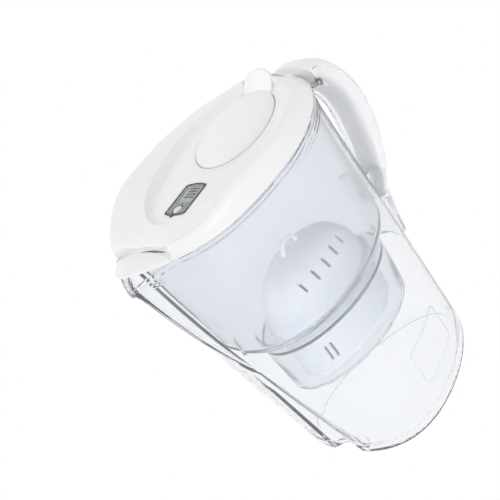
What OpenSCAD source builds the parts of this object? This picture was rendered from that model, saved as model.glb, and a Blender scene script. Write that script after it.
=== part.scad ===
// Water filter pitcher with a flip lid.
// A clear jug with a loop handle carries a hanging funnel, a lift-out filter cartridge and a white lid.
// Frame: X runs from the spout (-) to the handle (+), Z is up, and the jug stands on z = 0.

/* [Jug] */
// Height of the clear jug to its rim
jug_h = 244; // [225:1:265]
// Half the width of the jug wall at the foot
foot_half_w = 64.5; // [59:0.5:67]
// Half the width of the jug wall under the rim
rim_half_w = 69.5; // [66:0.1:74]
// Distance from the origin to the rear wall
rear_x = 96; // [92:0.5:100]
// Distance from the origin to the tip of the pouring lip
lip_x = 122.4; // [118:0.2:126]
// Distance from the origin to the front wall under the rim, at the ends of the lip
nose_rim_x = 102; // [99:0.5:105]
// Distance from the origin to the front wall where the keel splits
nose_split_x = 85.2; // [82:0.2:89]
// Distance from the origin to the front wall at the foot
nose_foot_x = 60.8; // [58:0.2:65]
// Height at which the keel splits into two creases
split_h = 117; // [105:1:128]
// Half the width of the front groove at the foot
groove_half_w = 16; // [12:0.5:20]
// How far the front groove is sunk at the foot
groove_depth = 8; // [5:0.5:10]
// Wall thickness of the clear jug
jug_wall = 2.6; // [2:0.1:3]
// Thickness of the clear floor
floor_t = 4.6; // [3.5:0.1:6]
// Radius of the rounding under the foot
foot_round = 3; // [2:0.2:4]
// Height of the flared band that carries the funnel and the lid
band_h = 5.5; // [4:0.5:8]
// How far the band stands out from the wall
band_out = 1.6; // [1.2:0.1:2]
// Half the width of the pouring lip at the rim
lip_half_w = 30.8; // [28:0.2:33]
// How far the tip of the pouring lip dips below the rim
lip_dip = 6.5; // [4:0.5:8]

/* [Handle] */
// Reach of the grip beyond the rear wall
grip_reach = 45.3; // [41:0.1:49]
// Thickness of the grip at the middle
grip_t = 18.5; // [15:0.5:20]
// Half the width of the grip at the middle
grip_half_w = 14; // [12:0.5:16]
// Half the width of the grip at its root
root_half_w = 19; // [16:0.5:22]
// Height of the top of the grip above the rim
grip_top_h = 10; // [8:0.5:12]
// Thickness of the clear rail under the grip
rail_t = 3.6; // [3:0.1:4.2]
// Length of the teardrop hole near the end of the grip
eyelet_l = 9; // [6:0.5:11]

/* [Lid] */
// Height of the lid's crest above the rim at the middle
crest_h = 19.7; // [18:0.1:22]
// Wall thickness of the lid
lid_wall = 2.2; // [1.8:0.1:2.6]
// Half the length of the basin
basin_a = 72.1; // [70:0.1:74]
// Half the width of the basin
basin_b = 52.6; // [50:0.2:55]
// Height of the basin floor above the rim at its bend
basin_floor_h = 7.2; // [6:0.1:8]
// Rise of the basin floor under the flap toward the handle, per unit of length
basin_slope = 0.127; // [0.11:0.001:0.14]
// How far the arc behind the pour cover bows toward the handle
arc_bow = 4.8; // [3.6:0.2:6]

/* [Flip flap] */
// Half the length of the flap
flap_a = 37.4; // [35:0.1:38]
// Half the width of the flap
flap_b = 34.3; // [32:0.1:36]
// Distance from the origin to the flap's centre
flap_x = 26.7; // [25.5:0.1:27.5]
// Height of the flap's dome
flap_dome = 7; // [5:0.5:9]
// Thickness of the flap
flap_t = 2; // [1.6:0.1:2.4]
// Width of the gap round the flap
flap_gap = 0.5; // [0.4:0.05:0.8]
// Width of the ledge under the flap's edge
flap_ledge = 3; // [2.4:0.1:3.6]
// Half the width of the thumb tab
tab_half_w = 15.5; // [13:0.5:17]
// Length of the thumb tab above its hinge
tab_h = 19.8; // [17:0.2:21]
// Thickness of the thumb tab
tab_t = 3.2; // [2.6:0.1:4]
// Radius of the hinge pins
pin_r = 1.3; // [1:0.1:1.6]
// Radial clearance round the hinge pins
pin_gap = 0.2; // [0.15:0.05:0.3]

/* [Pour cover] */
// Thickness of the pour cover
cover_t = 1.8; // [1.4:0.1:2.2]
// Rise of the pour cover's edge from its hinge to its nose
cover_nose_h = 6.4; // [5:0.1:7.5]
// Rise of the pour cover's crown at the arc
cover_arc_h = 1.2; // [0.8:0.1:2]
// Gap between the pour cover and the lid's arc
cover_gap = 1.3; // [1.1:0.1:1.8]

/* [Indicator] */
// Length of the indicator's bezel
ind_l = 33.4; // [31:0.2:35]
// Width of the indicator's bezel
ind_w = 22.6; // [21:0.2:24]
// Depth of the indicator's case under the basin floor
ind_depth = 6; // [5:0.2:7.5]
// Distance from the origin to the indicator's centre
ind_x = 42.8; // [41:0.1:44]
// Diameter of the start button
button_d = 7.6; // [6:0.2:9]
// Diameter of the coin cell
cell_d = 12.5; // [11:0.1:14]

/* [Funnel] */
// Wall thickness of the funnel
funnel_wall = 1.8; // [1.4:0.1:2.2]
// Gap between the funnel and the jug wall
funnel_gap = 1; // [0.8:0.1:2]
// Distance from the origin to the funnel's front wall
funnel_front_x = 84; // [81:0.5:88]
// Height of the funnel's shoulder above the table
shoulder_h = 133; // [125:1:140]
// Half the length of the well
well_a = 67; // [64:0.5:69]
// Half the width of the well
well_b = 46; // [43:0.5:47.5]
// Room between the cartridge and the floor of the well
well_room = 3.2; // [2:0.2:8]

/* [Cartridge] */
// Half the length of the cartridge
cart_a = 52.5; // [48:0.5:55]
// Half the width of the cartridge
cart_b = 31; // [28:0.5:34]
// Wall thickness of the cartridge
cart_wall = 1.6; // [1.2:0.1:2]
// Height of the cartridge below its flange
cart_body_h = 40; // [34:1:42]
// Height of the cartridge's dome above its flange
cart_dome_h = 42; // [34:1:48]
// Width of the flange round the cartridge
cart_flange = 4.5; // [3.5:0.5:6]

/* [Hidden] */
$fn = 48;

// Steps of one outline: up each side, and across the front
side_n = 20;
front_n = 8;
// Plan centre of the jug, and how much faster nose and rear come in than the sides
plan_x = -6;
nose_inset = 1.35;
rear_inset = 1.2;
// Powers of the superellipses: below 2 is more pointed than an ellipse
rear_pow = 1.7;
nose_pow_foot = 2.57;
nose_pow_rim = 2.36;
// The keel is a narrow land at the split and opens into the pouring lip at the rim
keel_half_w = 4;
keel_swell = 13;
lip_pow = 1.3;
// Fit gaps
rest_gap = 0.3;
piece_gap = 0.3;

// Seat of the funnel's flange inside the band, and the flange's own size
band_wall = 1.8;
seat_z = jug_h - band_h + 0.5;
flange_t = 2.2;
funnel_in = jug_wall + funnel_gap;
funnel_draft = 2;

function lerp(a, b, t) = a + (b - a) * t;
function unit01(t) = max(0, min(1, t));
function ease(t) = let (u = unit01(t)) u * u * (3 - 2 * u);
function spow(c, e) = sign(c) * pow(abs(c), e);

// How far a height is from the split (0) to the rim (1)
function above(z) = unit01((z - split_h) / (jug_h - split_h));
function nose_at(z) = z < split_h ? lerp(nose_foot_x, nose_split_x, z / split_h)
    : lerp(nose_split_x, nose_rim_x, above(z));
function keel_at(z) = let (a = above(z)) lerp(nose_split_x, lip_x, a) + keel_swell * a * (1 - a);
function half_w_at(z) = lerp(foot_half_w, rim_half_w, z / jug_h);
// Half the width of the cut across the nose, its bow (inward is positive), and the power of the bow
function cut_half_w(z) = z < split_h ? lerp(groove_half_w, keel_half_w, z / split_h)
    : lerp(keel_half_w, lip_half_w, above(z));
function cut_bow(z) = let (p = plan(z, 0)) z < split_h ? groove_depth * (1 - z / split_h)
    : -keel_at(z) - plan_pt(p, cut_angle(p, cut_half_w(z))).x;
function cut_pow(z) = lerp(2, lip_pow, above(z));

// Outline at height z, moved in by w: [nose, rear, half width, power of the nose]
function plan(z, w) = [nose_at(z) + plan_x - w * nose_inset, rear_x - plan_x - w * rear_inset,
    half_w_at(z) - w, lerp(nose_pow_foot, nose_pow_rim, z / jug_h)];
function plan_pt(p, t) = let (c = cos(t), s = sin(t), e = 2 / (c < 0 ? p[3] : rear_pow))
    [plan_x + (c < 0 ? p[0] : p[1]) * spow(c, e), p[2] * spow(s, e)];
function cut_angle(p, y) = 180 - asin(pow(y / p[2], p[3] / 2));
// Outline from the rear round the +Y side, across a bowed front cut, and back along the -Y side
function cut_ring(p, y, bow, z, e = 2) = let (tc = cut_angle(p, y), xc = plan_pt(p, tc).x) concat(
    [for (i = [0:side_n]) [each plan_pt(p, tc * i / side_n), z]],
    [for (j = [1:front_n - 1]) let (k = 1 - 2 * j / front_n) [xc + bow * (1 - pow(abs(k), e)), y * k, z]],
    [for (i = [side_n:-1:1]) [each plan_pt(p, -tc * i / side_n), z]]);
// Plan angles that match those steps, and an oval drawn on them
oval_cut = 150;
oval_t = concat([for (i = [0:side_n]) oval_cut * i / side_n],
    [for (j = [1:front_n - 1]) oval_cut + (360 - 2 * oval_cut) * j / front_n],
    [for (i = [side_n:-1:1]) -oval_cut * i / side_n]);
function oval(x, a, b, z) = [for (t = oval_t) [x + a * cos(t), b * sin(t), z]];
function oval2(x, a, b) = [for (t = oval_t) [x + a * cos(t), b * sin(t)]];

// Skin over a list of rings of equal count, running counterclockwise about the way they are stacked.
// A loop joins the last ring to the first; otherwise both ends get caps, in convex pieces.
module loft(rings, loop = false, caps = []) {
    n = len(rings[0]);
    m = len(rings);
    ends = len(caps) > 0 ? caps : [[for (i = [0:n - 1]) i]];
    sides = [for (r = [0:m - (loop ? 1 : 2)], i = [0:n - 1]) let (
        a = r * n + i, b = r * n + (i + 1) % n,
        c = (r + 1) % m * n + (i + 1) % n, d = (r + 1) % m * n + i) each [[a, d, c], [a, c, b]]];
    first = [for (f = ends) f];
    last = [for (f = ends) [for (k = [len(f) - 1:-1:0]) (m - 1) * n + f[k]]];
    polyhedron([for (r = rings, p = r) p], concat(sides, loop ? [] : concat(first, last)), convexity = 10);
}

// ---- Jug: only the outermost part of the lip dips
lip_part = 22;
function dipped(p) = [p.x, p.y,
    p.z - lip_dip * pow(unit01(1 + (-p.x - lip_x - band_out) / lip_part), 3) * ease((p.z - jug_h + 34) / 34)];
function jug_ring(z, w) = [for (p = cut_ring(plan(z, w), cut_half_w(z), cut_bow(z), z,
    cut_pow(z))) dipped(p)];
band_z = jug_h - band_h;
wall_z = concat([for (k = [1:4]) split_h * k / 5], [for (k = [0:5]) lerp(split_h, band_z - 6, k / 5)]);
jug_outside = concat(
    [for (a = [0:30:90]) [foot_round * (1 - cos(a)), foot_round * (1 - sin(a))]],
    [for (z = wall_z) [z, 0]],
    [[band_z - 2, 0], [band_z, -band_out * 0.8], [band_z + 0.6, -band_out],
        [jug_h - 0.5, -band_out], [jug_h, 0.4 - band_out]]);
jug_inside = concat(
    [[jug_h, band_wall - band_out - 0.3], [jug_h - 0.4, band_wall - band_out], [seat_z, band_wall - band_out],
        [seat_z, jug_wall - 0.3], [seat_z - 0.4, jug_wall]],
    [for (k = [len(wall_z) - 1:-1:0]) [wall_z[k], jug_wall]],
    [[floor_t + 4, jug_wall], [floor_t + 1.2, jug_wall + 1], [floor_t, jug_wall + 4]]);

module jug_shell() {
    color([0.86, 0.9, 0.95, 0.4]) loft([for (p = concat(jug_outside, jug_inside)) jug_ring(p[0], p[1])]);
}

// ---- Handle: two Bezier arcs draw the outer line of the grip in the XZ plane
grip_x = rear_x + grip_reach;
root_x = rear_x + band_out * rear_inset + 0.4;
root_z = jug_h + grip_top_h;
belly_z = 197;
tip = [rear_x + 7, 117];
arc_top = [[root_x, root_z], [root_x + 20, root_z + 0.5], [grip_x, belly_z + 31], [grip_x, belly_z]];
arc_low = [[grip_x, belly_z], [grip_x, belly_z - 37], [tip.x + 21, tip.y + 24], tip];
function bez(p, t) = let (s = 1 - t) s * s * s * p[0] + 3 * s * s * t * p[1] + 3 * s * t * t * p[2] + t * t * t * p[3];
function bez_way(p, t) = let (s = 1 - t,
    d = s * s * (p[1] - p[0]) + 2 * s * t * (p[2] - p[1]) + t * t * (p[3] - p[2])) d / norm(d);
// Station u runs from the root (0) over the belly (1) to the tip (2)
function grip_pt(u) = u < 1 ? bez(arc_top, u) : bez(arc_low, u - 1);
function grip_way(u) = u < 1 ? bez_way(arc_top, u) : bez_way(arc_low, u - 1);
function grip_out(u) = let (d = grip_way(u)) [-d.y, d.x];
function grip_w(u) = u < 1 ? lerp(root_half_w, grip_half_w, ease(u * 1.6)) : lerp(grip_half_w,
    grip_half_w - 2, u - 1);
function grip_depth(u) = u < 1 ? grip_t : lerp(grip_t, 8, ease((u - 1.15) / 0.85));
// A point of the section: q along the outward normal from the outer line, y across
function on_grip(u, q, y) = let (o = grip_pt(u), n = grip_out(u)) [o.x + n.x * q, y, o.y + n.y * q];
grip_n = 24;
grip_pow = 0.72;
function grip_ring(u, k) = let (t = grip_depth(u), w = grip_w(u)) [for (i = [0:grip_n - 1]) let (a = 360 * i / grip_n)
    on_grip(u, -t / 2 + k * t / 2 * spow(cos(a), grip_pow), -k * w * spow(sin(a), grip_pow))];
grip_u = [for (i = [0:20]) i / 10.4];

module handle_grip() {
    color("white") difference() {
        loft(concat([for (u = grip_u) grip_ring(u, 1)],
            [grip_ring(1.955, 0.93), grip_ring(1.98, 0.78), grip_ring(1.995, 0.5)]));
        // Teardrop hole near the tip, through the grip toward the wall
        eyelet = on_grip(1.82, 0, 0);
        translate([eyelet.x, 0, eyelet.z]) rotate([0, 90, 0]) {
            translate([0, 0, -20]) cylinder(h = 40, r = 1.6, $fn = 24);
            translate([-eyelet_l + 3.2, -0.8, -20]) cube([eyelet_l - 3.2, 1.6, 40]);
        }
    }
}

lip_t = 1.9;
lip_h = 12;
function rail_ring(u) = let (q2 = -grip_depth(u) - piece_gap, q0 = q2 - rail_t,
    q1 = q2 + lip_h * (1 - 0.5 * ease(u - 0.9)),
    wi = grip_w(u) + piece_gap, w = wi + lip_t)
    [for (p = [[q0, -w], [q0, w], [q1, w], [q1, wi], [q2, wi], [q2, -wi], [q1, -wi], [q1,
        -w]]) on_grip(u, p.x, p.y)];
rail_u = [for (i = [0:14]) i / 8];
rail_caps = [[1, 2, 3, 4], [0, 1, 4, 5], [0, 5, 6, 7]];
wedge_half_w = grip_half_w + lip_t - 1;
wedge_xz = [[rear_x - 8, 88], [rear_x + 1, 88], [rear_x + 8.7, 111], [rear_x + 15.2, 132],
    [rear_x + 17, 143], [rear_x - 8, 150]];

module handle_rail() {
    color([0.8, 0.86, 0.94, 0.5]) difference() {
        union() {
            loft([for (u = rail_u) rail_ring(u)], caps = rail_caps);
            translate([0, wedge_half_w, 0]) rotate([90, 0, 0]) linear_extrude(2 * wedge_half_w) polygon(wedge_xz);
        }
        // The rail stops just short of the jug wall
        loft([for (z = [80, split_h, 150, 190, 226, band_z - 2, band_z, jug_h + 30])
            jug_ring(min(z, jug_h) + max(0, z - jug_h), -(z < band_z - 1 ? 0.2 : band_out + 0.2))]);
        // Room for the end of the grip
        hull() for (u = [1.55, 1.7, 1.85, 1.93, 2], q = [-grip_depth(u) - piece_gap, 6]) {
            c = on_grip(u, q, 0);
            translate([c.x, -grip_w(1.6) - piece_gap, c.z - 0.8]) cube([0.2,
                2 * (grip_w(1.6) + piece_gap), 0.2]);
        }
    }
}

// ---- Funnel
function front_share(p, x) = min(0.975, (x + plan_x) / p[0]);
function funnel_cut(p, x) = p[2] * pow(1 - pow(front_share(p, x), p[3]), 1 / p[3]);
// Outline of the funnel, moved in by w from the jug's, with its front wall moved back by t
function funnel_ring(z, w, t = 0) = let (p = plan(min(z, seat_z), w))
    cut_ring(p, funnel_cut(p, funnel_front_x - t), -1.5, z);
function funnel_w(z) = funnel_in + funnel_draft * (seat_z - z) / (seat_z - shoulder_h);
collar_z = shoulder_h - 15;
cart_seat_z = collar_z - 6;
seal_t = 1;
cart_flange_z = cart_seat_z + seal_t;
cart_z = cart_flange_z - cart_body_h;
well_z = cart_z - well_room - funnel_wall;
cart_gap = 0.7;
well_x = 5;
flange_w = band_wall - band_out + 0.4;
funnel_wall_z = [for (k = [1:4]) lerp(seat_z, shoulder_h, k / 4)];
well_in_a = well_a - funnel_wall;
well_in_b = well_b - funnel_wall;
outlet_a = cart_a - 3;
outlet_b = cart_b - 3;
function well_oval(a, b, z) = oval(well_x, a, b, z);

funnel_skin = concat(
        [funnel_ring(seat_z + flange_t, flange_w, -1.5), funnel_ring(seat_z, flange_w, -1.5),
            funnel_ring(seat_z, funnel_w(seat_z))],
        [for (z = funnel_wall_z) funnel_ring(z, funnel_w(z))],
        [well_oval(well_a + 1.2, well_b + 1.2, collar_z + 4), well_oval(well_a, well_b, collar_z),
            well_oval(well_a - 3.4, well_b - 2.6, well_z + 3), well_oval(well_a - 6, well_b - 5, well_z),
            well_oval(outlet_a, outlet_b, well_z), well_oval(outlet_a, outlet_b, well_z + funnel_wall),
            well_oval(well_a - 7, well_b - 6, well_z + funnel_wall),
            well_oval(well_in_a - 3.2, well_in_b - 2.4, well_z + 5),
            well_oval(well_in_a - 0.6, well_in_b - 0.5, cart_seat_z - 3),
            well_oval(cart_a + cart_gap, cart_b + cart_gap, cart_seat_z - 3),
            well_oval(cart_a + cart_gap, cart_b + cart_gap, cart_seat_z),
            well_oval(well_in_a - 0.3, well_in_b - 0.3, cart_seat_z), well_oval(well_in_a, well_in_b,
                collar_z + 0.8),
            well_oval(well_in_a + 1, well_in_b + 1, collar_z + 5.4)],
        [for (k = [len(funnel_wall_z) - 1:-1:0]) let (z = funnel_wall_z[k])
            funnel_ring(z + (k == len(funnel_wall_z) - 1 ? 1.6 : 0), funnel_w(z) + funnel_wall, funnel_wall)],
        [funnel_ring(seat_z + flange_t, funnel_w(seat_z) + funnel_wall, funnel_wall)]);

module funnel() {
    // The skin runs down the outside and up the inside, so its rings are taken from the last to the first
    color([0.8, 0.84, 0.9, 0.6]) loft([for (k = [len(funnel_skin) - 1:-1:0]) funnel_skin[k]], loop = true);
}

// ---- Cartridge, standing in the funnel's well
cart_flange_t = 2.4;
cart_top_z = cart_flange_z + cart_flange_t;
mesh_t = 0.6;
module oval_plate(a, b, z, h) {
    translate([well_x, 0, z]) linear_extrude(h) polygon(oval2(0, a, b));
}

module cartridge_housing() {
    in_a = cart_a - cart_wall;
    in_b = cart_b - cart_wall;
    color("white") difference() {
        union() {
            oval_plate(cart_a, cart_b, cart_z, cart_body_h + cart_flange_t);
            oval_plate(cart_a + cart_flange, cart_b + cart_flange, cart_flange_z, cart_flange_t);
        }
        oval_plate(in_a, in_b, cart_z + cart_wall, cart_body_h + cart_flange_t);
        // Outlet slots in the bottom
        for (i = [-3:3]) translate([well_x + i * 10.5 - 2, -cart_b * 0.55, cart_z - 1]) cube([4,
            cart_b * 1.1, cart_wall + 2]);
        // Two slots low on each side toward the spout
        for (s = [-1, 1], t = [134, 141]) translate([well_x + cart_a * cos(t), s * cart_b * sin(t),
            cart_z + 6])
            rotate([0, 0, s * (t + 24)]) translate([-4, -1, 0]) cube([8, 2, 14]);
    }
}

module outlet_mesh() {
    color([0.85, 0.87, 0.9]) oval_plate(cart_a - cart_wall - piece_gap, cart_b - cart_wall - piece_gap,
        cart_z + cart_wall, mesh_t);
}

media_z = cart_z + cart_wall + mesh_t;
module filter_media() {
    color([0.35, 0.36, 0.38]) oval_plate(cart_a - cart_wall - piece_gap, cart_b - cart_wall - piece_gap,
        media_z,
        cart_top_z - media_z - 1);
}

module inlet_mesh() {
    color([0.85, 0.87, 0.9]) oval_plate(cart_a - cart_wall - piece_gap, cart_b - cart_wall - piece_gap,
        cart_top_z - 1, mesh_t);
}

module cartridge_seal() {
    color([0.75, 0.78, 0.82]) difference() {
        oval_plate(cart_a + cart_flange - 0.5, cart_b + cart_flange - 0.5, cart_seat_z, seal_t);
        oval_plate(cart_a + cart_gap, cart_b + cart_gap, cart_seat_z - 1, seal_t + 2);
    }
}

// Dome: height share and size share of its rings
dome = [[0, 1], [0.25, 0.985], [0.45, 0.93], [0.65, 0.83], [0.8, 0.7], [0.92, 0.5], [0.985, 0.26]];
function dome_rings(a, b, h) = [for (d = dome) oval(well_x, a * d[1], b * d[1], cart_top_z + h * d[0])];
module cartridge_cap() {
    inner = dome_rings(cart_a - cart_wall, cart_b - cart_wall, cart_dome_h - cart_wall);
    color([0.9, 0.92, 0.95]) difference() {
        union() {
            loft(concat([for (k = [0:len(dome) - 1]) dome_rings(cart_a, cart_b, cart_dome_h)[k]]));
            // Pull ring on top
            translate([well_x, 0, cart_top_z + cart_dome_h - 1]) rotate([90, 0, 0])
                rotate_extrude(angle = 180) translate([9, 0]) circle(r = 1.8, $fn = 24);
        }
        translate([0, 0, -0.01]) loft(inner);
        // Inlet slots round the shoulder of the dome
        for (s = [-1, 1], i = [-2:2]) translate([well_x + i * 13 - 1.2, s * cart_b * 0.86 - 5,
            cart_top_z + cart_dome_h * 0.5])
            cube([2.4, 10, 9]);
    }
}

// ---- Lid: rings run from the skirt over the crest into the basin, round the flap's hole and back underneath
lid_z = jug_h + rest_gap;
lid_plan = plan(jug_h, -band_out);
lid_line = cut_ring(lid_plan, lip_half_w, arc_bow, lid_z);
arc_x = plan_pt(lid_plan, cut_angle(lid_plan, lip_half_w)).x;
lid_n = len(lid_line);
// The crest falls toward the arc
crest_fall = 9;
basin_x = -0.4;
basin_edge_h = 15.1;
basin_edge_slope = 0.078;
floor_x = 2;
floor_a = 65.6;
floor_b = 46;
// The basin's edge rises to a ridge on both sides of the thumb tab
ridge_rise = 3.2;
basin_edge = oval2(basin_x, basin_a, basin_b);
basin_foot = oval2(floor_x, floor_a, floor_b);
// The floor runs level under the indicator, bends, and climbs under the flap
bend_x = -10;
bend_r = 12;
level_slope = 0.01;
function bend_way(x) = norm([x - bend_x, bend_r]);
function floor_z(x) = jug_h + basin_floor_h + (level_slope + basin_slope) / 2 * (x - bend_x)
    + (basin_slope - level_slope) / 2 * (bend_way(x) - bend_r);
function floor_tilt(x) = atan((level_slope + basin_slope) / 2
    + (basin_slope - level_slope) / 2 * (x - bend_x) / bend_way(x));
function unit2(v) = v / norm(v);
// Share of the arc's profile, of the rear's profile, and of the side's crest at a step of the outline
function at_arc(i) = let (j = i - side_n) j > 0 && j < front_n ? ease((1 - abs(1 - 2 * j / front_n)) * 1.6) : 0;
function at_rear(i) = 1 - ease((min(i, lid_n - i) - 2) / 5);
function side_share(i) = 1 - crest_fall / crest_h * ease((-lid_line[i].x - 45) / 50);
function edge_z(i) = lid_z + basin_edge_h + basin_edge_slope * (basin_edge[i].x - basin_x) + ridge_rise * at_rear(i);
// A profile gives [way in, height] over the lid's edge for the side, the rear and the arc
function skirt_pt(i, q) = let (o = [lid_line[i].x, lid_line[i].y], v = unit2(basin_edge[i] - o),
    side = [q[0].x, q[0].y * side_share(i)], p = lerp(lerp(side, q[1], at_rear(i)), q[2], at_arc(i)))
    [each o + v * p.x, lid_z + p.y];
function skirt_ring(q) = [for (i = [0:lid_n - 1]) skirt_pt(i, q)];
function basin_ring(k, kz, out = 0, low = 0) = [for (i = [0:lid_n - 1]) let (
    b = basin_edge[i], f = basin_foot[i], c = b + (f - b) * k + unit2(b) * out)
    [each c, lerp(edge_z(i), floor_z(f.x), kz) - low]];
function hole_ring(off, low = 0) = [for (t = oval_t) let (x = flap_x + (flap_a + off) * cos(t))
    [x, (flap_b + off) * sin(t), floor_z(x) - low]];
// The floor between the basin's foot and the hole
function floor_ring(k, low = 0) = let (hole = hole_ring(flap_gap))
    [for (i = [0:lid_n - 1]) let (c = lerp(basin_foot[i], [hole[i].x, hole[i].y], k)) [each c,
        floor_z(c.x) - low]];
// Inner rib that centres the lid in the funnel; over the pouring channel it stays short
rib_t = 1.6;
rib_in = 9.4;
rib_gap = 0.6;
function rib_ring(t) = let (p = plan(jug_h, funnel_w(seat_z) + funnel_wall + rib_gap + t))
    [for (q = cut_ring(p, funnel_cut(p, -arc_x - rib_in - t), arc_bow, 0))
        [q.x, q.y, lid_z - 1.6 - 2.6 * ease((q.x + 66) / 10)]];
ledge_drop = flap_t + 0.15;
// Outside, from the lower edge up to the crest
skirt_out = [[[0, 0], [0, 0], [0, 0]], [[0.3, crest_h / 2], [1.5, 2.5], [0.1, 2.5]],
    [[1.4, crest_h * 0.76], [5, 6.5], [0.3, 5]], [[3.6, crest_h * 0.92], [10, 11.5], [0.9, 5.9]],
    [[6, crest_h * 0.985], [17, 18], [6, 7.8]], [[8.6, crest_h], [21.5, 22.3], [12, 9.2]]];
// Inside, from the rib down to the lower edge
lid_in = crest_h - lid_wall;
skirt_in = [[[7.6, lid_in * 0.98], [7.6, 5.9], [7.6, 6]], [[6.4, lid_in * 0.95], [6.4, 4.8], [6.4, 5.7]],
    [[4.4, lid_in * 0.86], [4.9, 3.2], [4.4, 5]], [[2.6, lid_in * 0.5], [3.6, 1.2], [2.4, 4]],
    [[lid_wall, 0], [3.2, 0], [lid_wall, 0]]];
lid_rings = concat(
    [for (q = skirt_out) skirt_ring(q)],
    [basin_ring(0, 0), basin_ring(0.3, 0.62), basin_ring(0.65, 0.92), basin_ring(1, 1), floor_ring(0.4),
        floor_ring(0.72)],
    [hole_ring(flap_gap), hole_ring(flap_gap, ledge_drop), hole_ring(-flap_ledge, ledge_drop),
        hole_ring(-flap_ledge, ledge_drop + lid_wall), hole_ring(flap_gap + 0.6, ledge_drop + lid_wall)],
    [floor_ring(0.72, lid_wall), floor_ring(0.4, lid_wall)],
    [basin_ring(0.97, 1, 0.6, lid_wall), basin_ring(0.65, 0.92, 0.9, lid_wall), basin_ring(0.3, 0.62,
        1.6, lid_wall),
        basin_ring(0, 0, 1.6, lid_wall)],
    [skirt_ring([[11.6, lid_in * 0.98], [11.6, 9], [11.6, 7]]), rib_ring(rib_t), rib_ring(0)],
    [for (q = skirt_in) skirt_ring(q)]);

// Flap hinge, across the rear of the hole
hinge_x = flap_x + flap_a - 3.1;
hinge_z = floor_z(hinge_x) - 1.3;
barrel_r = 1.9;
tab_lean = 48;
flap_open = 40;
tab_side_gap = 0.6;
pocket_w = tab_half_w + tab_side_gap;
pocket_wall = 2.4;
// Recess behind the flap: its floor follows the back of the thumb tab when the flap is open
pocket_end = norm([tab_h, tab_t]) + 0.6;
pocket_low = tab_t + 0.6;
pocket_rise = tan(tab_lean - flap_open);
pocket_xz = [[-4, -pocket_low], [2, -pocket_low], [pocket_end, pocket_rise * pocket_end - pocket_low],
    [pocket_end, 30], [-4, 30]];
tub_t = 2;
tub_front = 3;
tub_top = 0.4;
tub_xz = [[-tub_front, -pocket_low - tub_t], [2, -pocket_low - tub_t],
    [pocket_end + 2.5, pocket_rise * pocket_end - pocket_low - tub_t],
    [pocket_end + 1.5, pocket_rise * pocket_end - pocket_low + 0.6], [11, 3.6], [5, tub_top],
        [-tub_front, tub_top]];
// Pour cover hinge, at the ends of the arc
cover_axis = [arc_x - 1.8, lid_z + 1.2];
cover_pin_r = 0.7;
ear_t = 1.6;
ear_gap = 0.4;
cover_half_w = lip_half_w - ear_t - ear_gap;
// Frame of the basin floor, and the indicator's bezel
bezel_rim = 1.2;
module on_floor(x) {
    translate([x, 0, floor_z(x)]) rotate([0, -floor_tilt(x), 0]) children();
}
function bezel(l, w) = let (bow = 1.8) concat(
    [for (k = [-5:5]) [l / 2 - bow * k * k / 25, w / 2 * k / 5]],
    [for (k = [5:-1:-5]) [-l / 2 + bow * k * k / 25, w / 2 * k / 5]]);
module bezel_plate(inset, z, h) {
    translate([0, 0, z]) linear_extrude(h) polygon(bezel(ind_l - 2 * inset, ind_w - 2 * inset));
}
module pin(r, y, l) {
    translate([0, y, 0]) rotate([-90, 0, 0]) cylinder(h = l, r = r, $fn = 32);
}

module across(xz, half_w) {
    translate([0, half_w, 0]) rotate([90, 0, 0]) linear_extrude(2 * half_w) polygon(xz);
}

module lid_shell() {
    color("white") difference() {
        union() {
            loft(lid_rings, loop = true);
            translate([hinge_x, 0, hinge_z]) across(tub_xz, pocket_w + pocket_wall);
            // Ears that carry the pour cover
            for (s = [-1, 1]) translate([cover_axis.x - 1.2, s * (lip_half_w - ear_t / 2) - ear_t / 2, lid_z])
                cube([4.2, ear_t, 2.6]);
        }
        translate([hinge_x, 0, hinge_z]) across(pocket_xz, pocket_w);
        translate([hinge_x, 0, hinge_z]) pin(pin_r + pin_gap, -pocket_w - pocket_wall + 0.5,
            2 * (pocket_w + pocket_wall) - 1);
        on_floor(-ind_x) bezel_plate(bezel_rim - piece_gap, -10, 20);
        for (s = [-1, 1]) translate([cover_axis.x, s * (lip_half_w - 0.6) - 2,
            cover_axis.y]) pin(cover_pin_r + pin_gap, 0, 4);
    }
}

// ---- Flip flap
function flap_ring(k, up) = [for (t = oval_t) let (x = flap_x + k * flap_a * cos(t))
    [x, k * flap_b * sin(t), floor_z(x) + up]];
flap_top = [[1, 0.1], [0.985, 0.75], [0.93, 1.9], [0.8, 3.9], [0.6, 5.5], [0.35, 6.6], [0.12, 6.95]];
dome_share = flap_dome / 7;
flap_rings = concat(
    [for (k = [len(flap_top) - 1:-1:1]) flap_ring(min(flap_top[k][0], 0.93),
        flap_top[k][1] * dome_share - flap_t)],
    [flap_ring(0.985, -flap_t), flap_ring(1, 0.1 - flap_t)], [for (p = flap_top) flap_ring(p[0],
        p[1] * dome_share)]);
// Outline of the thumb tab in its own plane: x up the tab, y across
tab_side = 0.42;
tab_line = concat([[-1.2, -tab_half_w], [tab_h * tab_side, -tab_half_w]],
    [for (a = [-75:15:75]) [tab_h * (tab_side + (1 - tab_side) * cos(a)), tab_half_w * sin(a)]],
    [[tab_h * tab_side, tab_half_w], [-1.2, tab_half_w]]);

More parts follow.
